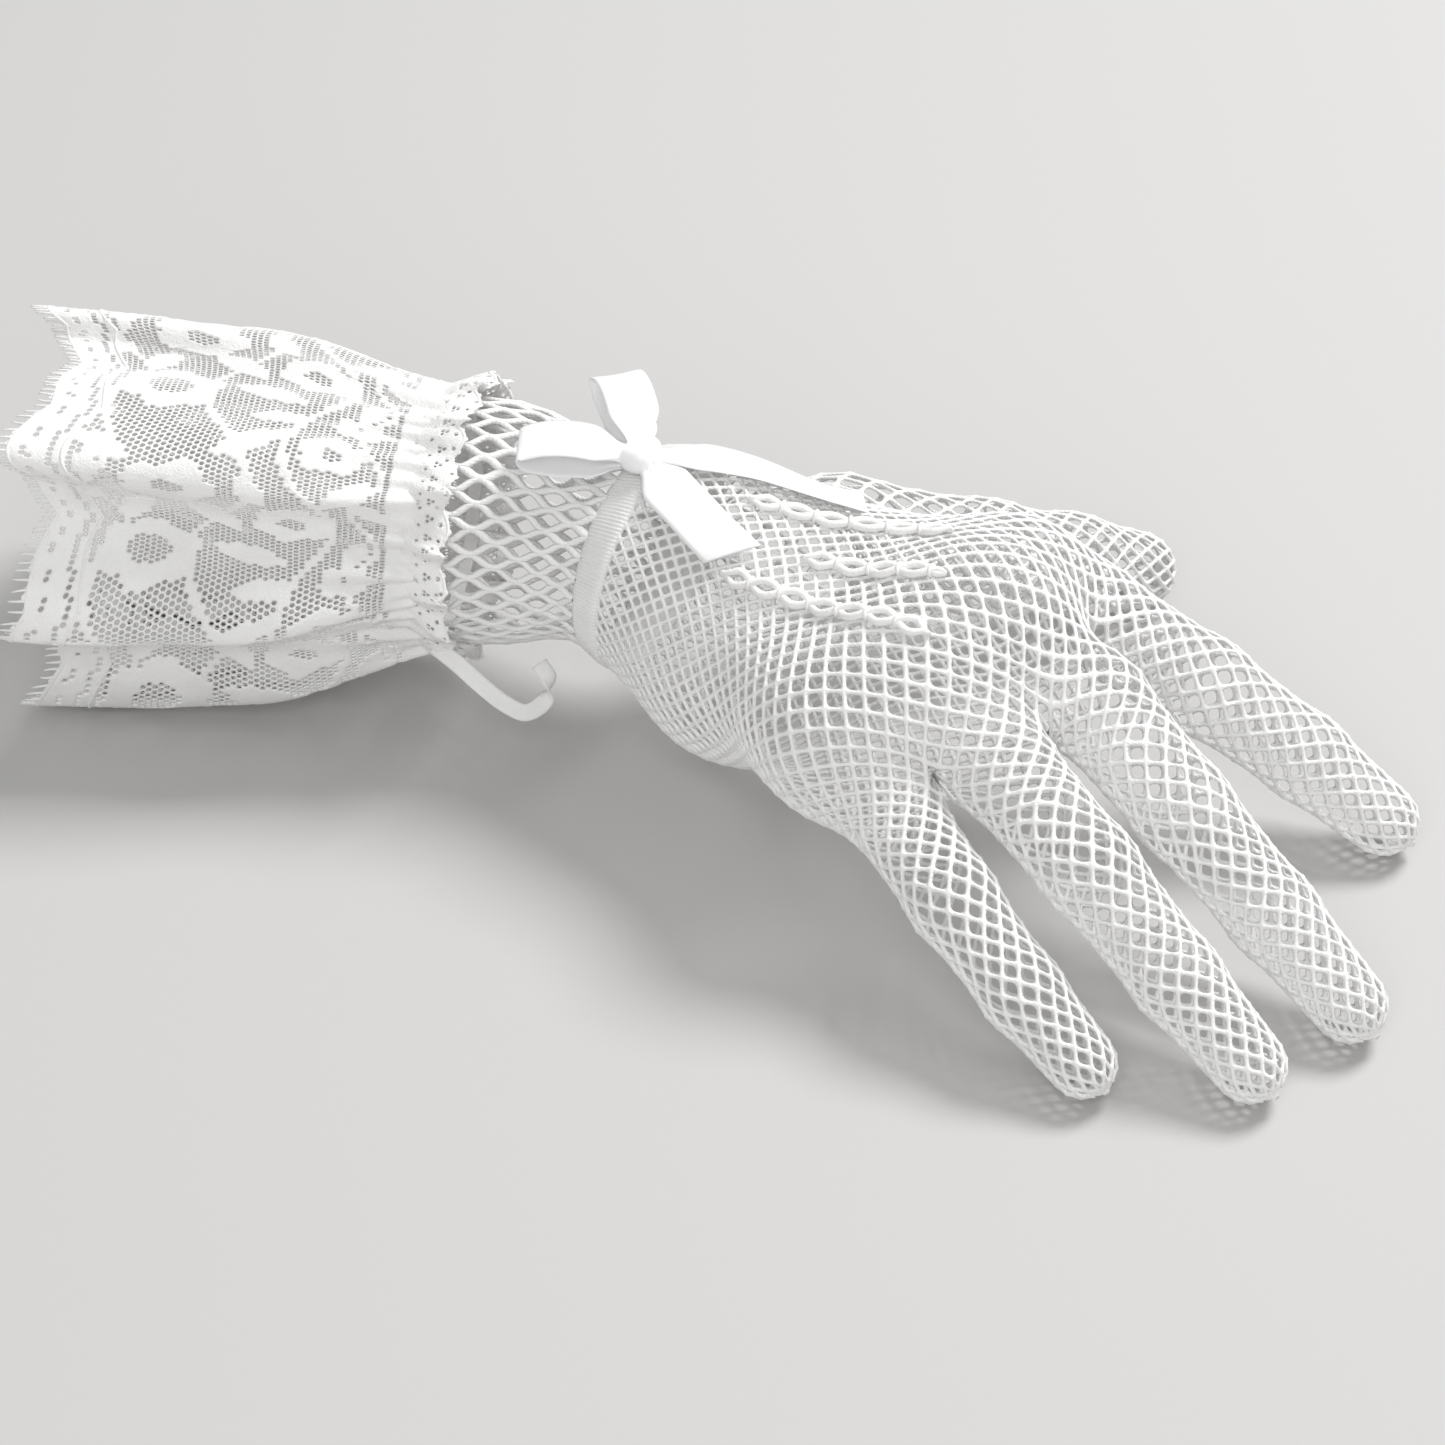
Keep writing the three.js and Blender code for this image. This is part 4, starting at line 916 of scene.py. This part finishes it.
def inside_ellipse(x, y, cx, cy, a, b, deg):
    t = math.radians(deg)
    dx = (x - cx + REPEAT / 2) % REPEAT - REPEAT / 2
    dy = y - cy
    u, v = dx * math.cos(t) + dy * math.sin(t), -dx * math.sin(t) + dy * math.cos(t)
    return (u / a) ** 2 + (v / b) ** 2


def leaf(x, y, cx, cy, a, b, deg):
    t = math.radians(deg)
    dx = (x - cx + REPEAT / 2) % REPEAT - REPEAT / 2
    dy = y - cy
    u, v = dx * math.cos(t) + dy * math.sin(t), -dx * math.sin(t) + dy * math.cos(t)
    return np.abs(v) - b * np.maximum(0, 1 - (u / a) ** 2)


def flower(x, y, cx, cy, r, petals, phase, hole=0.33):
    dx = (x - cx + REPEAT / 2) % REPEAT - REPEAT / 2
    dy = y - cy
    rr, th = np.hypot(dx, dy), np.arctan2(dy, dx)
    edge_r = r * (0.80 + 0.20 * np.abs(np.cos(petals / 2 * th + phase)))
    body = (rr < edge_r) & (rr > r * hole)
    vein = (np.abs(np.sin(petals / 2 * th + phase)) < 0.10) & (rr > r * 0.5) & (rr < r * 0.80) & False
    return body & ~vein


def lace_kind(x, y):
    L = RUFFLE_LENGTH
    e = L - scallop(x) - y  # distance in from the scalloped edge
    k = np.ones(len(x), int)
    solid = np.zeros(len(x), bool)
    # Large flowers with an open eye, leaves round them, and curved stems between.
    solid |= flower(x, y, 13.0, 50.0, 10.5, 6, 0.3, 0.42)
    solid |= flower(x, y, 44.5, 44.0, 9.0, 5, 1.0, 0.30)
    solid |= flower(x, y, 28.0, 22.0, 8.0, 6, 0.6, 0.34)
    solid |= flower(x, y, 58.0, 16.0, 6.6, 5, 0.2, 0.30)
    solid |= flower(x, y, 6.0, 12.0, 5.4, 5, 0.9, 0.26)
    for cx, cy, a, b, deg in ((29, 37, 8.5, 3.4, 35), (28.5, 52.5, 7.0, 2.8, -25), (56, 56.0, 6.0, 2.4, 60), (59, 31, 8.0, 3.0, -55), (14, 30, 8.5, 3.2, 70), (43, 29, 6.5, 2.6, 20), (44, 12, 7.5, 2.8, -30), (16, 10.5, 6.5, 2.5, -15), (36, 8, 6.0, 2.2, 30), (4, 27, 6.5, 2.4, 100), (50, 58, 5.0, 2.0, 10), (35, 60, 5.5, 2.0, -10)):
        lf = leaf(x, y, cx, cy, a, b, deg)
        solid |= (lf < 0)
    # Stems: waves that run round the lace.
    for base_, amp, per, ph, wd in ((36.0, 7.0, 1, 0.4, 0.85), (19.5, 5.0, 1, 2.2, 0.8), (57.5, 2.6, 2, 0.6, 0.75), (9.0, 2.4, 2, 1.1, 0.75)):
        yy = base_ + amp * np.sin(2 * np.pi * per * x / REPEAT + ph)
        slope = np.abs(amp * 2 * np.pi * per / REPEAT * np.cos(2 * np.pi * per * x / REPEAT + ph))
        solid |= np.abs(y - yy) < wd * np.sqrt(1 + slope ** 2)
    # The border: a clothed band with two lines of eyelets that follow the scallops.
    solid |= e < 9.4
    eyelet = (np.abs(e - 3.1) < 0.56) & ((np.floor(x / (W_LACE / 150)) % 2) == 0)
    eyelet |= (np.abs(e - 7.2) < 0.56)
    solid |= y < 5.2  # gathered into the seam
    k[solid] = 2
    k[eyelet & (e < 9.4)] = 1
    k[e < 0] = 0
    return k


lace_pieces = lace("lace_ruffle_panel", W_LACE, 300, 1.12, 65, lace_kind, lambda x, y: on_ruffle(x, y, W_LACE), thin=0.16, thick=0.27, hole=0.56, split=4)
for i, ob in enumerate(lace_pieces):
    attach(ob, "hand")
    if i == 0:
        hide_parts("lace_ruffle")

# The cord on the scalloped edge and the picot fringe that stands out from it.
n = 2200
x = W_LACE * np.arange(n) / n
pe, ne = on_ruffle(x, RUFFLE_LENGTH - scallop(x) - 0.35, W_LACE)
parts = [tube(pe, 0.42, 7, closed=True)]
pe2, ne2 = on_ruffle(x, RUFFLE_LENGTH - scallop(x) - 9.2, W_LACE)
parts.append(tube(pe2 + ne2 * 0.22, 0.34, 6, closed=True))
NF = 236
for k in range(NF):
    x0 = W_LACE * (k + 0.2 * rng.random()) / NF
    ln = 2.5 + 0.7 * rng.random()
    lean = 0.9 * (rng.random() - 0.5)
    t = np.linspace(0, 1, 6)
    xs = x0 + lean * t ** 2
    ys = RUFFLE_LENGTH - scallop(np.array([x0]))[0] - 0.3 + ln * t
    pp, nn = on_ruffle(xs, ys, W_LACE)
    pp = pp + nn * (0.5 * np.sin(3 * t) * (rng.random() - 0.4))[:, None]
    parts.append(tube(pp, 0.30 - 0.16 * t, 5))
V, F = joined(parts)
fringe = fix_normals(mesh("lace_edge_cord_and_fringe", V, F, merge=False))
fringe.data.materials.append(LACE)
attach(fringe, "hand")

# ------------------------------------------------------------------ header frill, and the gathered seam under it
FR_LEN, FR_FOLDS, W_FR = 9.5, 15, 286.0


def frill(x, y):
    """x round the arm, y from the seam towards the fingers."""
    a, l = 2 * np.pi * x / W_FR, y / FR_LEN
    s = SEAM + 2.6 - y * 0.93
    c, t, side, up = axis_at(s)
    r0 = np.linalg.norm(arm_point(s, a, SKIN_OUT + 1.25) - c, axis=-1)
    ph = FR_FOLDS * a + 1.1 * np.sin(3 * a)
    lc = np.clip(l, 0, 1)
    r = r0 + 1.2 * lc ** 1.5 + (1 + np.cos(ph)) * (0.30 + 1.05 * lc) + 0.3 * np.cos(31 * a + 3 * l)
    r = r + 1.5 * np.sin(np.pi * np.clip(l, 0, 1)) * 0.5
    swing = -0.05 * lc * np.sin(ph)
    d = side * np.cos(a + swing)[..., None] + up * np.sin(a + swing)[..., None]
    return c + d * r[..., None], None


def on_frill(x, y):
    p, _ = frill(x, y)
    e = 0.02
    n_ = unit(np.cross(frill(x + e, y)[0] - p, frill(x, y + e)[0] - p))
    c = axis_at(SEAM - y)[0]
    return p, n_ * np.where(((p - c) * n_).sum(-1) < 0, -1, 1)[..., None]


def frill_kind(x, y):
    t = (x / (W_FR / 30)) % 1.0
    e = FR_LEN - 1.9 * np.abs(2 * t - 1) ** 1.5 - y
    k = np.full(len(x), 2)
    cell = np.floor(x / (W_FR / 240)).astype(int)
    spot = ((x / (W_FR / 60)) % 1.0)
    u = (spot - 0.5) * W_FR / 60
    k[(u ** 2 + ((e - 3.6) * 1.0) ** 2 < 1.1 ** 2)] = 1
    k[(np.abs(e - 1.35) < 0.42) & (cell % 3 == 0)] = 1
    k[(np.abs(y - 3.0) < 0.5) & (cell % 4 == 0)] = 1
    k[e < 0] = 0
    return k


hf = lace("gathered_header_frill", W_FR, 240, 0.94, 11, frill_kind, on_frill, thin=0.14, thick=0.26, hole=0.55)[0]
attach(hf, "hand")
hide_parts("header_frill")
x = W_FR * np.arange(1800) / 1800
t = (x / (W_FR / 30)) % 1.0
pe, ne = on_frill(x, FR_LEN - 1.9 * np.abs(2 * t - 1) ** 1.5 - 0.25)
V, F = joined([tube(pe, 0.36, 6, closed=True)])
fe = fix_normals(mesh("header_frill_edge_cord", V, F, merge=False))
dress(fe, LACE)
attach(fe, "hand")

tape = band("gathering_seam_tape", SEAM + 0.6, SEAM + SEAM_TAPE_WIDTH - 0.2, 120, 1.5, 1.3, 0.35, wave=0.12)
dress(tape, TRIM)
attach(tape, "hand")
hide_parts("seam_tape")

# ------------------------------------------------------------------ ribbons
def strip(name, path, wide, width, thick=0.45, crown=0.0, pleats=None, closed=False, m=13, mat=SATIN, ends=None):
    """A ribbon along a path: rounded edges, an optional crown across it, and pleats where it is gathered."""
    Pp = np.asarray(path, float)
    nP = len(Pp)
    T = unit(np.roll(Pp, -1, 0) - np.roll(Pp, 1, 0)) if closed else unit(np.gradient(Pp, axis=0))
    Wd = flat(np.broadcast_to(wide, Pp.shape), T)
    Nn = np.cross(T, Wd)
    v = np.linspace(-1, 1, m)
    t = np.linspace(0, 1, nP)
    width = np.array([width(q) for q in t]) if callable(width) else np.full(nP, width)
    pl = np.zeros((nP, m)) if pleats is None else pleats(t[:, None], v[None, :])
    mid = Pp[:, None] + Wd[:, None] * (v[None] * width[:, None] / 2)[..., None] + Nn[:, None] * (crown * (1 - v[None] ** 2) + pl)[..., None]
    if ends is not None:
        mid = mid + T[:, None] * ends(t[:, None], v[None, :])[..., None]
    hh = thick / 2 * (1 - np.abs(v) ** 8 * 0.75)
    a, b = mid + Nn[:, None] * hh[None, :, None], mid - Nn[:, None] * hh[None, :, None]
    ring = np.concatenate([a, b[:, ::-1]], 1)
    nR = ring.shape[1]
    F = [grid_faces(nP, nR, closed, True)]
    V = ring.reshape(-1, 3)
    if not closed:
        k = np.arange(m - 1)
        for base_ in (0, (nP - 1) * nR):
            F.append(np.stack([base_ + k, base_ + k + 1, base_ + nR - 2 - k, base_ + nR - 1 - k], 1))
    ob = fix_normals(mesh(name, V, [np.vstack(F)], merge=False))
    return dress(ob, mat)


mid_s = (BAND_S[0] + BAND_S[1]) / 2
c0, t0, side0, up0 = (x[0] for x in axis_at(np.array([mid_s])))
kb = arm_point(np.array([mid_s]), np.array([math.radians(82)]), SKIN_OUT + 0.9)[0]
Fw = -t0


def K(x, y, z):
    return kb + Fw * x + side0 * y + up0 * z


def top_at(x, y, level):
    lo, hi = 38.0, 90.0
    for _ in range(26):
        m = (lo + hi) / 2
        if sd_hand(np.array([[x, y, m]]))[0] < level:
            lo = m
        else:
            hi = m
    return np.array((x, y, lo))


def near_knot(amp, reach, k=3):
    return lambda t, v: amp * np.exp(-np.minimum(t, 1 - t) / reach) * np.cos(k * np.pi * v)


def loop_width(w):
    return lambda t: w * (0.50 + 0.50 * float(smooth(min(t, 1 - t) / 0.16)))


nl = strip("bow_near_loop_ribbon", spline([K(-2.8, 1.4, 2.9), K(-7, 3.4, 4.9), K(-12, 5.9, 5.9), K(-17, 8.3, 5.4), K(-19.6, 9.6, 4.0), K(-18.6, 9.2, 2.6), K(-14, 7.0, 1.6), K(-8, 4.0, 1.3), K(-3.0, 1.6, 1.3)], 90), side0 * 0.9 + Fw * 0.4 - up0 * 0.16, loop_width(9.4), crown=0.30, pleats=near_knot(0.45, 0.06))
fl = strip("bow_far_loop_ribbon", spline([K(-1.8, -3.0, 3.0), K(-4.8, -6.4, 6.6), K(-8.4, -10.2, 8.6), K(-12.2, -14.0, 8.0), K(-14.3, -16.0, 5.8), K(-13.0, -14.8, 3.6), K(-9.0, -10.8, 2.3), K(-5.0, -6.8, 1.6), K(-2.0, -3.4, 1.4)], 90), Fw * 0.7 - side0 * 0.7, loop_width(9.4), crown=0.35, pleats=near_knot(0.45, 0.06))


def lay(pts, level):
    return [top_at(*(K(x, y, 0)[:2]), level) for x, y in pts]


def tail(name, pts, start, level, cut):
    path = spline([start] + lay(pts, level), 80)
    n_ = grad(path, sd_hand)
    T_ = unit(np.gradient(path, axis=0))
    wide = np.cross(n_, T_)
    return strip(name, path, wide, lambda t: 9.4 * (0.45 + 0.55 * float(smooth(t / 0.24))), crown=0.12, pleats=lambda t, v: 0.40 * np.exp(-t / 0.07) * np.cos(3 * np.pi * v) + 0.22 * np.sin(5.5 * t + 1.2) * v, ends=lambda t, v: cut * v * smooth((t - 0.8) / 0.2))


nt_ = tail("bow_near_tail_ribbon", [(9, 5.6), (14.5, 8.5), (20, 11.2), (26.0, 13.9)], K(2.4, 1.6, 2.0), SKIN_OUT + 1.5, 2.6)
ft = tail("bow_far_tail_ribbon", [(10, -4.4), (20, -6.9), (31, -8.6), (40.5, -9.6)], K(2.4, -1.4, 2.2), SKIN_OUT + 1.5, -2.2)
# The knot: ribbon wrapped across, with two folds along it.
rings_ = []
for i in range(25):
    v = -1 + 2 * i / 24
    th = 2 * np.pi * np.arange(40) / 40
    ca, sa = np.cos(th), np.sin(th)
    w = math.sqrt(max(0.04, 1 - 0.94 * v ** 4))
    crease = 0.20 * np.cos(3.0 * np.pi * v + 0.8 * ca) * np.clip(sa + 0.4, 0, 1)
    X = 3.1 * w * np.sign(ca) * np.abs(ca) ** 0.75
    Z = 2.7 + (2.6 * w + crease) * np.sign(sa) * np.abs(sa) ** 0.75
    rings_.append(kb + np.outer(X, Fw) + side0 * (4.2 * v) + np.outer(Z, up0))
R = np.array(rings_)
V = np.vstack([R.reshape(-1, 3), R[0].mean(0) , R[-1].mean(0)])
k = np.arange(40)
F = [grid_faces(25, 40, False, True), np.stack([k, np.full(40, 1000), (k + 1) % 40], 1), np.stack([24 * 40 + k, 24 * 40 + (k + 1) % 40, np.full(40, 1001)], 1)]
kn = fix_normals(mesh("bow_knot_wrap", V, [F[0], np.vstack(F[1:])], merge=False))
dress(kn, SATIN)
for ob, node in ((nl, "bow_near_loop"), (fl, "bow_far_loop"), (nt_, "bow_near_tail"), (ft, "bow_far_tail"), (kn, "bow_knot")):
    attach(ob, "hand")
    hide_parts(node)

# ------------------------------------------------------------------ three raised points: pairs of cords that cross, with eyelets between
POINTS = {
    "point_rib_little_side": [(1.0, -1.8), (7.9, -2.6), (15.7, -3.2), (23.0, -4.2), (31.0, -5.2), (38.3, -6.0), (45.2, -6.4)],
    "point_rib_middle": [(13.8, 4.8), (19.7, 5.8), (26.5, 6.3), (33.0, 6.4), (41.3, 6.6)],
    "point_rib_index_side": [(-2.1, 13.2), (3.4, 14.3), (9.6, 15.2), (14.7, 16.4), (20.0, 18.6), (26.0, 20.8), (34.5, 21.8)],
}
for name, pts in POINTS.items():
    n_ = 150
    path = np.array([top_at(x, y, SKIN_OUT + 0.75) for x, y in spline([(x, y, 0.0) for x, y in pts], n_)[:, :2]])
    T_ = unit(np.gradient(path, axis=0))
    N_ = grad(path, sd_hand)
    S_ = np.cross(N_, T_)
    s_ = np.r_[0, np.cumsum(np.linalg.norm(np.diff(path, axis=0), axis=1))]
    end_ = np.minimum(1, np.minimum(s_, s_[-1] - s_) / 3.0)
    parts = []
    for sg in (1, -1):
        ph = np.pi * s_ / 6.4
        o = sg * np.sin(ph) * 1.40 * end_
        z = 0.22 * np.cos(ph) * sg
        parts.append(tube(path + S_ * o[:, None] + N_ * z[:, None], 0.74 * (0.55 + 0.45 * end_), 9))
        # binding stitches over the crossings
    for kx in np.arange(0.0, s_[-1], 6.4):
        i = int(np.argmin(np.abs(s_ - kx)))
        if 3 < i < n_ - 4:
            cpt, nn, ss, tt_ = path[i], N_[i], S_[i], T_[i]
            th = np.linspace(0, 2 * np.pi, 14, endpoint=False)
            ringp = cpt + nn * 0.05 + (ss * np.cos(th)[:, None] * 1.15 + nn * np.sin(th)[:, None] * 0.98)
            parts.append(tube(ringp, 0.34, 6, closed=True, up=tuple(tt_)))
    V, F = joined(parts)
    ob = fix_normals(mesh(name + "_cords", V, F, merge=False))
    dress(ob, LACE)
    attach(ob, "hand")
    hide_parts(name)

# ------------------------------------------------------------------ the loose end of the seam tape
s_t = SEAM + 0.5 - 6.4
c_, t_, side_, up_ = (x[0] for x in axis_at(np.array([s_t])))
st = arm_point(np.array([s_t]), np.array([math.radians(-38)]), SKIN_OUT + 5.2)[0]


def TP(x, y, z):
    return st - t_ * x + side_ * y + up_ * z


tie = strip("loose_seam_tape_end", spline([TP(-4.6, -2.2, 1.6), TP(1.2, 0.4, -0.6), TP(5, 1.2, -3.4), TP(10, 1.6, -7.0), TP(13.5, 1.0, -8.6), TP(16.4, -1.6, -7.2), TP(16.6, -3.6, -3.6), TP(14.6, -4.6, -1.2)], 80), side_ * 0.60 - up_ * 0.76, 3.2, thick=0.45, crown=0.15, m=9, mat=TRIM)
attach(tie, "hand")
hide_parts("seam_tape_end")

# ------------------------------------------------------------------ floor, light and camera
def stage_mesh(name, verts, faces, mat):
    me = bpy.data.meshes.new(name)
    me.from_pydata(verts, [], faces)
    ob = bpy.data.objects.new(name, me)
    bpy.context.scene.collection.objects.link(ob)
    ob.data.materials.append(mat)
    return ob


fm = bpy.data.materials.new("pale_floor")
fm.use_nodes = True
fb = fm.node_tree.nodes["Principled BSDF"]
fb.inputs["Base Color"].default_value = (0.52, 0.515, 0.51, 1)
fb.inputs["Roughness"].default_value = 0.9
fb.inputs["Specular IOR Level"].default_value = 0.2
S_ = 6.0
floor = stage_mesh("floor", [(-S_, -S_, -0.0006), (S_, -S_, -0.0006), (S_, S_, -0.0006), (-S_, S_, -0.0006)], [(0, 1, 2, 3)], fm)

world = bpy.data.worlds.new("studio")
bpy.context.scene.world = world
world.use_nodes = True
world.node_tree.nodes["Background"].inputs["Color"].default_value = (1.0, 1.0, 1.0, 1)
world.node_tree.nodes["Background"].inputs["Strength"].default_value = 0.5


def area(name, loc, target, size, power, color=(1, 1, 1)):
    from mathutils import Vector
    li = bpy.data.lights.new(name, "AREA")
    li.shape, li.size, li.energy, li.color = "DISK", size, power, color
    ob = bpy.data.objects.new(name, li)
    ob.location = loc
    ob.rotation_euler = (Vector(target) - Vector(loc)).to_track_quat("-Z", "Y").to_euler()
    bpy.context.scene.collection.objects.link(ob)


area("key", (0.35, 0.75, 1.25), (0, 0, 0.02), 0.6, 20)
area("fill", (0.5, -1.1, 0.9), (0, 0, 0.03), 0.9, 7.4)

from mathutils import Matrix, Vector
cam_data = bpy.data.cameras.new("camera")
cam_data.lens, cam_data.sensor_width = 137.02, 36.0
cam_data.clip_start, cam_data.clip_end = 0.05, 30
cam = bpy.data.objects.new("camera", cam_data)
bpy.context.scene.collection.objects.link(cam)
back_ = np.array((0.399318, -0.691639, 0.601815))
loc = (np.array((0, 0, 20.0)) + 1000 * back_ + SHIFT) / 1000.0
cam.matrix_world = Matrix.Translation(Vector(loc)) @ Vector(back_).to_track_quat("Z", "Y").to_matrix().to_4x4()
bpy.context.scene.camera = cam
bpy.context.scene.view_settings.view_transform = "Standard"
bpy.context.view_layer.update()
